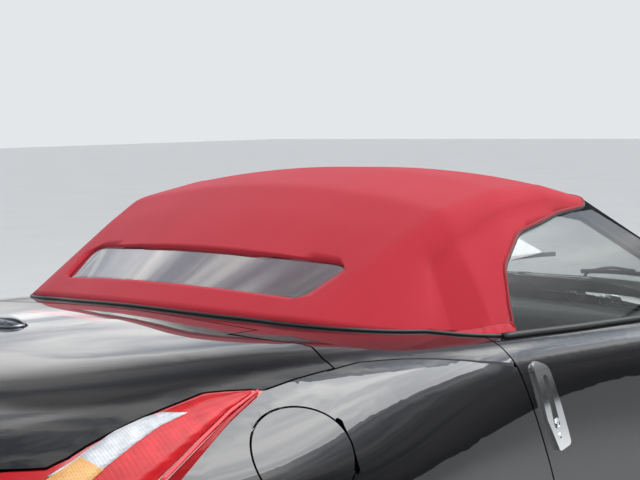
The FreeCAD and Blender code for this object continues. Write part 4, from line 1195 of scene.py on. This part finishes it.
back = rounded_form("seat_back_left", (0.050, 0.232, 0.300))
for v in back.data.vertices:
    high = ease(v.co.z, 0.02, 0.30)
    side = ease(abs(v.co.y), 0.135, 0.215)
    if v.co.x > 0:
        v.co.x += (0.030 * side - 0.010 * (1 - side)) * (1 - 0.75 * high)
    v.co.y *= 1 - 0.20 * ease(v.co.z, 0.10, 0.30) - 0.06 * ease(-v.co.z, 0.05, 0.30)
    v.co.z += 0.012 * math.cos(min(abs(v.co.y) / 0.20, 1) * math.pi / 2) * ease(v.co.z, 0.2, 0.3)
blow_up(back)
press_seams(back, lambda p: (
    SEAM_DEPTH * groove(abs(p.y) - 0.148 * (1 - 0.16 * ease(p.z, 0.1, 0.3)), SEAM_WIDTH) * (p.x > 0)
    + CHANNEL_DEPTH * channels(p.z, (-0.20, -0.11, -0.02, 0.07, 0.16)) * (p.x > 0) * (abs(p.y) < 0.142)
))
place_back = HINGE @ lean @ Matrix.Translation((-0.005, 0, 0.262))
back.data.transform(place_back)

rest = rounded_form("head_rest_left", (0.042, 0.128, 0.072), power=3.6, cuts=10)
for v in rest.data.vertices:
    v.co.x += 0.012 * (1 - (v.co.y / 0.128) ** 2)
blow_up(rest, cap=0.006)
place_rest = HINGE @ lean @ Matrix.Translation((-0.018, 0, 0.625))
rest.data.transform(place_rest)
print("seat points", len(cushion.data.vertices), len(back.data.vertices), len(rest.data.vertices))

# %% [markdown]
# Leather has a fine pebble grain. The seams get a line of thread: a chain of short stitches along the
# bolsters' edges, each a tiny bar.

# %% Seat covers, stitches and bases
def stitches(name, line, length=0.0055, gap=0.0035, radius=0.0007):
    total = sum((b - a).length for a, b in zip(line, line[1:]))
    places = spaced(line, max(int(total / (length + gap)), 2))
    bars = []
    for a, b in zip(places, places[1:]):
        along = (b - a).normalized()
        bars.append(tube("stitch", [a, a + along * length], radius))
    return joined(name, bars)


def on_piece(piece, start, way):
    hit, point, normal, _ = piece.ray_cast(Vector(start), Vector(way))
    return point + normal * 0.0004 if hit else None


thread = worn("seat_thread", (0.10, 0.095, 0.09), (0.15, 0.145, 0.14), 60.0, 0.8)
soft_pieces = [cushion, back, rest]
bpy.context.view_layer.update()
seam_lines = []
for sign in (-1, 1):
    seam_y = SEAT_Y + sign * 0.142
    line = [on_piece(cushion, (-0.205 + x / 100, seam_y, 0.6), (0, 0, -1)) for x in range(-21, 22, 2)]
    seam_lines.append([p for p in line if p])
    line = []
    for z in range(-24, 25, 2):
        start = place_back @ Vector((0.3, sign * 0.140 * (1 - 0.16 * ease(z / 100, 0.1, 0.3)), z / 100))
        line.append(on_piece(back, start, lean @ Vector((-1, 0, 0))))
    seam_lines.append([p for p in line if p])
for number, line in enumerate(seam_lines):
    if len(line) > 2:
        for sign, label in ((1, "left"), (-1, "right")):
            flipped = [Vector((p.x, p.y * sign, p.z)) for p in line]
            finished(stitches(f"seat_seam_{label}_{number}", flipped), thread, "car_body")
for label, sign in (("left", 1), ("right", -1)):
    for piece in soft_pieces:
        kind = piece.name.rsplit("_", 1)[0]
        if label == "left":
            finished(piece, leather, "car_body")
            covered = piece
        else:
            covered = mirror_copy(piece, f"{kind}_right", leather, "car_body")
        if kind == "seat_cushion":
            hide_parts("seats")
    seat_base = tool_body(
        f"seat_base_{label}",
        outline([(-0.43, -0.19, 0.03), (0.0, -0.19, 0.05), (0.0, 0.19, 0.05), (-0.43, 0.19, 0.03)]),
        lambda a, b, k: (
            a + (0.02 * k if a > -0.2 else -0.01 * k), SEAT_Y * sign + b * (1 + 0.1 * k), 0.2305 + 0.095 * k
        ),
    )
    finished(seat_base, trim, "car_body")
    posts = []
    for y in (-0.055, 0.055):
        low = place_back @ Vector((-0.012, y, 0.26))
        high = place_rest @ Vector((-0.004, y, -0.03))
        line = [Vector((p.x, p.y * sign, p.z)) for p in (low, (low + high) / 2, high)]
        posts.append(tube("post", line, 0.006))
    finished(joined(f"head_rest_posts_{label}", posts), chrome, "car_body")
print("seat seams", len(seam_lines) * 2)

# %% [markdown]
# Through the windows you see the cockpit: three round dials in their hoods, air vents and a gear lever
# with its gaiter. Small pieces like these tell the eye how big the car is. All are turned on the lathe.

# %% Cockpit
way_back = Vector((-math.cos(math.radians(24)), 0, math.sin(math.radians(24))))
VENT = (
    (-0.01, 0.034), (0.006, 0.034), (0.009, 0.031), (0.006, 0.028), (-0.004, 0.026), (-0.004, 0.012),
    (0.003, 0.010), (0.005, 0.0),
)
GAITER = (
    (-0.004, 0.062), (0.006, 0.060), (0.012, 0.046), (0.020, 0.048), (0.027, 0.034), (0.035, 0.036),
    (0.043, 0.020), (0.060, 0.012),
)
LEVER = (
    (0.050, 0.007), (0.092, 0.007), (0.097, 0.014), (0.110, 0.022), (0.124, 0.024), (0.136, 0.020),
    (0.142, 0.010), (0.1435, 0.0),
)
LEVER_WAY = (0.10, 0, 1)


def on_dash(y, z):
    """The dashboard's face, found by a ray that travels forward."""
    return first_hit(Vector((-0.2, y, z)), Vector((1, 0, 0)), ["dashboard"])


for number, (y, size) in enumerate(((0.285, 0.036), (0.385, 0.052), (0.485, 0.036))):
    center = on_dash(y, 0.860)
    if center is None:
        continue
    at = center[0] + Vector((-0.004, 0, 0))
    pod_line = [
        (-0.02, size + 0.010), (0.046, size + 0.012), (0.052, size + 0.008), (0.046, size + 0.002),
        (0.008, size), (0.006, 0.0),
    ]
    finished(lathe(f"dial_pod_{number}", pod_line, at, way_back, steps=40), trim, "car_body")
    ring_line = [(0.010, size), (0.014, size - 0.001), (0.014, size - 0.004), (0.010, size - 0.005)]
    finished(lathe(f"dial_ring_{number}", ring_line, at, way_back, closed=True), chrome, "car_body")
for number, y in enumerate((-0.50, -0.30, -0.06, 0.06)):
    center = on_dash(y, 0.800)
    if center is None:
        continue
    vent = lathe(f"air_vent_{number}", VENT, center[0] + Vector((-0.002, 0, 0)), (-1, 0, 0))
    finished(vent, trim, "car_body")
console_top = dropped(-0.16, 0.0, ["dashboard"], height=1.3)
if console_top:
    top = console_top[0]
    finished(lathe("lever_gaiter", GAITER, top, LEVER_WAY, steps=40), leather, "car_body")
    finished(lathe("gear_lever", LEVER, top, LEVER_WAY, steps=32), trim, "car_body")
print("console top", console_top and console_top[0])

# %% [markdown]
# The lamps in front are bowls behind clear glass. The glass is a node already. Behind it we lay a dark
# housing, a copy of the glass's own surface set 50 mm deeper, and stand two polished bowls with domed
# lenses in it.

# %% Headlamps
dress(glass, "headlamps")
bezel = worn("lamp_bezel", (0.018, 0.018, 0.020), (0.030, 0.030, 0.033), 12.0, 0.22)
bulb_glass = material("lamp_dome", (0.85, 0.88, 0.90), Roughness=0.02, Coat_Weight=1.0, Metallic=0.35)
LAMP_WAY = (0.93, 0, 0.36)
rows = []
for i in range(19):
    x = 1.560 + 0.0245 * i
    y_low = -0.752 + 0.33 * ease(x, 1.60, 2.04)
    y_high = -0.690 + 0.27 * ease(x, 1.56, 2.04)
    row = []
    for k in range(9):
        y = y_low + (y_high - y_low) * k / 8
        hit = dropped(x, y, ["headlamps"])
        row.append(hit[0] - Vector((0.012, 0, 0.050)) if hit else None)
    rows.append(row)
rows = [row for row in rows if sum(p is not None for p in row) >= 5]
for row in rows:
    known = [p for p in row if p]
    for k, p in enumerate(row):
        if p is None:
            near = min(known, key=lambda q: abs(row.index(q) - k))
            row[k] = near + Vector((0, 0.001 * (k - row.index(near)), -0.001))
print("lamp housing rows", len(rows))
if len(rows) > 3:
    housing = sheet_of("lamp_housing_right", rows, 0.003)
    finished(housing, bezel, "car_body")
    mirror_copy(housing, "lamp_housing_left", bezel, "car_body")
for number, (x, y, size) in enumerate(((1.900, -0.585, 0.052), (1.775, -0.665, 0.044))):
    hit = dropped(x, y, ["headlamps"])
    if hit is None:
        continue
    bowl_line = [
        (-0.020, 0.012), (-0.012, size * 0.60), (0.004, size * 0.88), (0.020, size), (0.023, size),
        (0.021, size - 0.003), (0.004, size * 0.80), (-0.008, size * 0.5), (-0.014, 0.0),
    ]
    dome_line = [
        (-0.012, size * 0.62), (0.000, size * 0.62), (0.007, size * 0.50), (0.013, size * 0.28), (0.015, 0.0),
    ]
    for label, sign in (("right", 1), ("left", -1)):
        at = hit[0] + Vector((-0.030, 0, -0.040))
        at.y *= sign
        bowl = lathe(f"lamp_bowl_{label}_{number}", bowl_line, at, LAMP_WAY, steps=40)
        finished(bowl, chrome, "car_body")
        dome = lathe(f"lamp_dome_{label}_{number}", dome_line, at, LAMP_WAY, steps=40)
        finished(dome, bulb_glass, "car_body")

# %% [markdown]
# The tail has a recess with a blank plate, a dark panel with fins under the bumper, a long reflector and
# an exhaust tip on each side. Each plate is laid on the tail by rays from behind, as a sheet a few
# millimetres thick.

# %% Tail pieces
def from_behind(name, outline_yz, names, lift, thickness, columns=24, rows_count=7):
    """A plate with the outline's left and right edges, laid on the tail by rays that travel forward."""
    low_z, high_z = min(z for _, z in outline_yz), max(z for _, z in outline_yz)
    closed_line = outline_yz + outline_yz[:1]
    rows = []
    for i in range(rows_count):
        z = high_z + (low_z - high_z) * i / (rows_count - 1)
        reach = []
        for (ya, za), (yb, zb) in zip(closed_line, closed_line[1:]):
            if (za - z) * (zb - z) <= 0 and abs(za - zb) > 1e-9:
                reach.append(ya + (yb - ya) * (z - za) / (zb - za))
        y_left, y_right = max(reach), min(reach)
        row = []
        for k in range(columns):
            y = y_left + (y_right - y_left) * k / (columns - 1)
            hit = first_hit(Vector((-3, y, z)), Vector((1, 0, 0)), names)
            row.append(hit[0] + hit[1] * lift if hit else None)
        rows.append(row)
    return sheet_of(name, whole_columns(rows), thickness)


TAIL = ["rear_bumper", "boot_lid"]
plate_white = worn("blank_plate", (0.66, 0.67, 0.66), (0.74, 0.75, 0.74), 3.0, 0.4, 0.1, 0.0003, 80.0)
reflector = ribbed("reflector", (0.42, 0.004, 0.008), 0.18, 90.0, 0.0006)
PLATES = (
    # name, outline, finish, lift, thickness
    ("plate_recess", [(-0.40, 0.475), (0.40, 0.475), (0.34, 0.700), (-0.34, 0.700)], trim, 0.0012, 0.004),
    ("plate_rear", box_line(-0.165, 0.500, 0.165, 0.665), plate_white, 0.0026, 0.003),
    ("lower_panel", [(-0.40, 0.235), (0.40, 0.235), (0.52, 0.385), (-0.52, 0.385)], trim, 0.0014, 0.004),
)
for name, line, finish, lift, thickness in PLATES:
    finished(from_behind(name, line, TAIL, lift, thickness), finish, "car_body")
for number in range(4):
    y = -0.24 + 0.16 * number
    fin_line = box_line(y - 0.006, 0.240, y + 0.006, 0.375)
    fin = from_behind(f"panel_fin_{number}", fin_line, TAIL, 0.0028, 0.004, columns=4)
    finished(fin, trim, "car_body")
TIP = ((-0.012, 0.0565), (0.060, 0.0565), (0.062, 0.0535), (0.060, 0.0505), (0.0, 0.0500), (-0.012, 0.0505))
for label, sign in SIDES:
    y = sign * 0.60
    strip_line = box_line(y - 0.055, 0.418, y + 0.055, 0.446)
    strip = from_behind(f"reflector_{label}", strip_line, TAIL, 0.0022, 0.004, columns=10, rows_count=4)
    finished(strip, reflector, "car_body")
    tip = lathe(f"exhaust_tip_{label}", TIP, (-2.062, sign * 0.52, 0.280), (-1, 0, 0), closed=True)
    finished(tip, chrome, "car_body")
print("tail pieces on", TAIL)

# %% [markdown]
# A plain oval dome of dark chrome sits in the middle of the boot lid. A turned dome would be flat below,
# while the lid is curved, so it is made as rings round one point: each ring is dropped on the lid, then
# lifted by less the further out it is.

# %% Oval on the boot lid
OVAL_RINGS, OVAL_POINTS = 8, 24
OVAL_X, OVAL_LENGTH, OVAL_WIDTH, OVAL_RISE = -1.505, 0.046, 0.088, 0.019
rows = []
for i in range(OVAL_RINGS + 1):
    row = []
    share = i / OVAL_RINGS
    for k in range(OVAL_POINTS):
        angle = 2 * math.pi * k / OVAL_POINTS
        x, y = OVAL_X + OVAL_LENGTH * share * math.cos(angle), OVAL_WIDTH * share * math.sin(angle)
        hit = dropped(x, y, ["boot_lid"], height=1.3)
        row.append(hit[0] + hit[1] * (OVAL_RISE * (1 - share ** 3) + 0.0004) if hit else None)
    rows.append(row)
if all(p is not None for row in rows for p in row):
    points = [rows[0][0]] + [p for row in rows[1:] for p in row]
    faces = [(0, 1 + k, 1 + (k + 1) % OVAL_POINTS) for k in range(OVAL_POINTS)]
    for i in range(OVAL_RINGS - 1):
        first = 1 + i * OVAL_POINTS
        for k in range(OVAL_POINTS):
            a, b = first + k, first + (k + 1) % OVAL_POINTS
            faces.append((a, a + OVAL_POINTS, b + OVAL_POINTS, b))
    last_ring = range(1 + (OVAL_RINGS - 1) * OVAL_POINTS, 1 + OVAL_RINGS * OVAL_POINTS)
    faces.append(tuple(last_ring)[::-1])
    oval = mesh_object("boot_oval", points, faces)
    dark_chrome = worn("dark_chrome", (0.16, 0.17, 0.19), (0.22, 0.23, 0.25), 8.0, 0.08, Metallic=1.0)
    finished(oval, dark_chrome, "boot_lid")
    print("oval points", len(points))

# %% [markdown]
# Last come the small things round the cabin: glass in the door mirrors, two round caps on each door
# handle and wipers parked at the foot of the windscreen. They are simple, but a car without them looks
# like a toy.

# %% Small outside pieces
mirror_glass = material("mirror_glass", (0.80, 0.82, 0.84), Roughness=0.02, Metallic=1.0)
tint(mirror_glass, (0.76, 0.78, 0.80), (0.84, 0.86, 0.88), 2.0)
for label, sign in SIDES:
    line = outline(box_line(0.862, 0.940, 0.998, 1.030, 0.022))
    pane = tool_body(f"mirror_glass_{label}", line, lambda a, b, k: (0.3165 + 0.004 * k, sign * a, b))
    finished(pane, mirror_glass, f"door_{label}")
    around = outline(box_line(0.857, 0.935, 1.003, 1.035, 0.026))
    frame_line = [Vector((0.3170, sign * a, b)) for a, b in around]
    finished(tube(f"mirror_frame_{label}", frame_line, 0.0035, closed=True), trim, f"door_{label}")
LOCK = ((-0.001, 0.0075), (0.0015, 0.0075), (0.0022, 0.0062), (0.0014, 0.0045), (0.0016, 0.0))
for number, (px, py) in enumerate(((556, 421), (560, 436))):
    hit = seen_at(px, py, ["handle_right", "door_right"])
    for label, sign in (("right", 1), ("left", -1)):
        at, way = (Vector((p.x, p.y * sign, p.z)) for p in hit)
        lock = lathe(f"lock_{label}_{number}", LOCK, at, way, steps=24)
        finished(lock, chrome, f"door_{label}")
WIPERS = (((0.640, 0.36), (0.520, -0.10)), ((0.640, -0.12), (0.520, -0.56)))
for number, (start, end_at) in enumerate(WIPERS):
    line = []
    for i in range(16):
        t = i / 15
        x = start[0] + (end_at[0] - start[0]) * t
        y = start[1] + (end_at[1] - start[1]) * t
        hit = dropped(x, y, ["windscreen", "screen_frame"], height=1.6)
        if hit:
            line.append(hit[0] + hit[1] * 0.010)
    if len(line) > 6:
        blade = tube(f"wiper_blade_{number}", line, 0.0055, smooth_rounds=2, flat=1.3)
        finished(blade, rubber, "car_body")
        middle = line[len(line) // 2]
        foot = Vector((0.690, line[0].y + 0.02, 0.935))
        knee, crest = foot + Vector((-0.02, 0, 0.018)), (foot + middle) / 2 + Vector((0, 0, 0.030))
        arm = [foot, knee, crest, middle + Vector((0, 0, 0.008))]
        arm_bar = tube(f"wiper_arm_{number}", spaced(arm, 12), 0.0045, smooth_rounds=3)
        finished(arm_bar, trim, "car_body")
print("wipers", len(WIPERS))

# %% [markdown]
# The studio has a wide pale floor and one very large soft light above. Black paint only shows what it
# mirrors, so the sky is given something to mirror: soft clouds, with brighter and darker patches in a few
# directions. The camera, and what is seen through glass, gets a plain pale backdrop instead, which Light
# Path picks out.

# %% Floor and lights
FAR = 60
corners = [(-FAR, -FAR, 0), (FAR, -FAR, 0), (FAR, FAR, 0), (-FAR, FAR, 0)]
floor = mesh_object("floor", corners, [(0, 1, 2, 3)], smooth=False)
pale = worn("pale_floor", (0.60, 0.60, 0.59), (0.66, 0.66, 0.65), 0.8, 0.8)
dress(pale, "floor")


def soft_light(name, size, power, place, aim):
    data = bpy.data.lights.new(name, "AREA")
    data.shape = "RECTANGLE"
    data.size, data.size_y = size
    data.energy = power
    lamp = bpy.data.objects.new(name, data)
    scene.collection.objects.link(lamp)
    aim_way = (Vector(aim) - Vector(place)).to_track_quat("-Z", "Y").to_matrix().to_4x4()
    lamp.matrix_world = Matrix.Translation(place) @ aim_way
    return lamp


overhead = soft_light("overhead", (9, 7), 620, (1.4, -3.6, 7.0), (-0.6, -0.3, 0.8))
print("light", overhead.name, overhead.data.energy, "W")

# %% [markdown]
# A node network makes the sky. The direction of a ray gives its height, which a colour ramp turns into a
# level. A noise stretched sideways gives the clouds. The dot product of the ray with a chosen direction
# tells how close they are, and that makes one patch of the sky darker or brighter. There are four such
# patches.

# %% Sky
world = bpy.data.worlds.new("studio")
scene.world = world
world.use_nodes = True
tree = world.node_tree
sky = tree.nodes["Background"]


def sky_node(kind, **settings):
    made = tree.nodes.new(kind)
    for key, value in settings.items():
        setattr(made, key, value)
    return made


def ramp_node(source, stops):
    made = sky_node("ShaderNodeValToRGB")
    while len(made.color_ramp.elements) < len(stops):
        made.color_ramp.elements.new(0.5)
    for stop, (place_at, color) in zip(made.color_ramp.elements, stops):
        stop.position = place_at
        stop.color = (*color, 1) if isinstance(color, tuple) else (color, color, color, 1)
    tree.links.new(source, made.inputs["Fac"])
    return made.outputs["Color"]


def times(a, b):
    made = sky_node("ShaderNodeVectorMath", operation="MULTIPLY")
    tree.links.new(a, made.inputs[0])
    tree.links.new(b, made.inputs[1])
    return made.outputs["Vector"]


place = sky_node("ShaderNodeTexCoord").outputs["Generated"]
parts = sky_node("ShaderNodeSeparateXYZ")
tree.links.new(place, parts.inputs["Vector"])
LEVELS = ((0.0, 0.22), (0.04, 0.45), (0.10, 0.95), (0.35, 0.95), (0.60, 0.62), (1.0, 0.50))
level = ramp_node(parts.outputs["Z"], LEVELS)
stretch = sky_node("ShaderNodeMapping")
stretch.inputs["Scale"].default_value = (1.0, 1.0, 2.6)
tree.links.new(place, stretch.inputs["Vector"])
noise = sky_node("ShaderNodeTexNoise")
noise.inputs["Scale"].default_value = 3.4
noise.inputs["Detail"].default_value = 6
noise.inputs["Distortion"].default_value = 0.7
tree.links.new(stretch.outputs["Vector"], noise.inputs["Vector"])
CLOUDS = ((0.38, (0.42, 0.47, 0.55)), (0.50, (0.80, 0.83, 0.88)), (0.62, (1.35, 1.35, 1.34)))
clouds = ramp_node(noise.outputs["Fac"], CLOUDS)


def toward(way, dark, start, end):
    """A factor that changes from 1 to `dark` as a ray turns toward a direction."""
    dot = sky_node("ShaderNodeVectorMath", operation="DOT_PRODUCT")
    dot.inputs[1].default_value = way
    tree.links.new(place, dot.inputs[0])
    fall = sky_node("ShaderNodeMapRange", interpolation_type="SMOOTHSTEP")
    for key, value in (("From Min", start), ("From Max", end), ("To Min", 1.0), ("To Max", dark)):
        fall.inputs[key].default_value = value
    tree.links.new(dot.outputs["Value"], fall.inputs["Value"])
    return fall.outputs["Result"]


whole = times(level, clouds)
for way, change, start, end in (
    # direction, level there, where it starts, where it is full
    ((0.79, -0.61, 0.06), 0.12, 0.80, 0.97),
    ((0.67, -0.33, 0.68), 3.0, 0.82, 0.96),
    ((0.33, 0.69, 0.66), 1.9, 0.94, 0.99),
    ((0.55, 0.58, 0.60), 0.14, 0.950, 0.988),
):
    whole = times(whole, toward(way, change, start, end))
tree.links.new(whole, sky.inputs["Color"])
sky.inputs["Strength"].default_value = 1.35
backdrop = sky_node("ShaderNodeBackground")
backdrop.inputs["Color"].default_value = (0.78, 0.80, 0.82, 1)
eye = sky_node("ShaderNodeLightPath")
seen = sky_node("ShaderNodeMath", operation="MAXIMUM")
tree.links.new(eye.outputs["Is Camera Ray"], seen.inputs[0])
tree.links.new(eye.outputs["Is Transmission Ray"], seen.inputs[1])
choose = sky_node("ShaderNodeMixShader")
tree.links.new(seen.outputs["Value"], choose.inputs["Fac"])
tree.links.new(sky.outputs["Background"], choose.inputs[1])
tree.links.new(backdrop.outputs["Background"], choose.inputs[2])
tree.links.new(choose.outputs["Shader"], tree.nodes["World Output"].inputs["Surface"])
scene.view_settings.view_transform = "Standard"
print("sky nodes", len(tree.nodes))
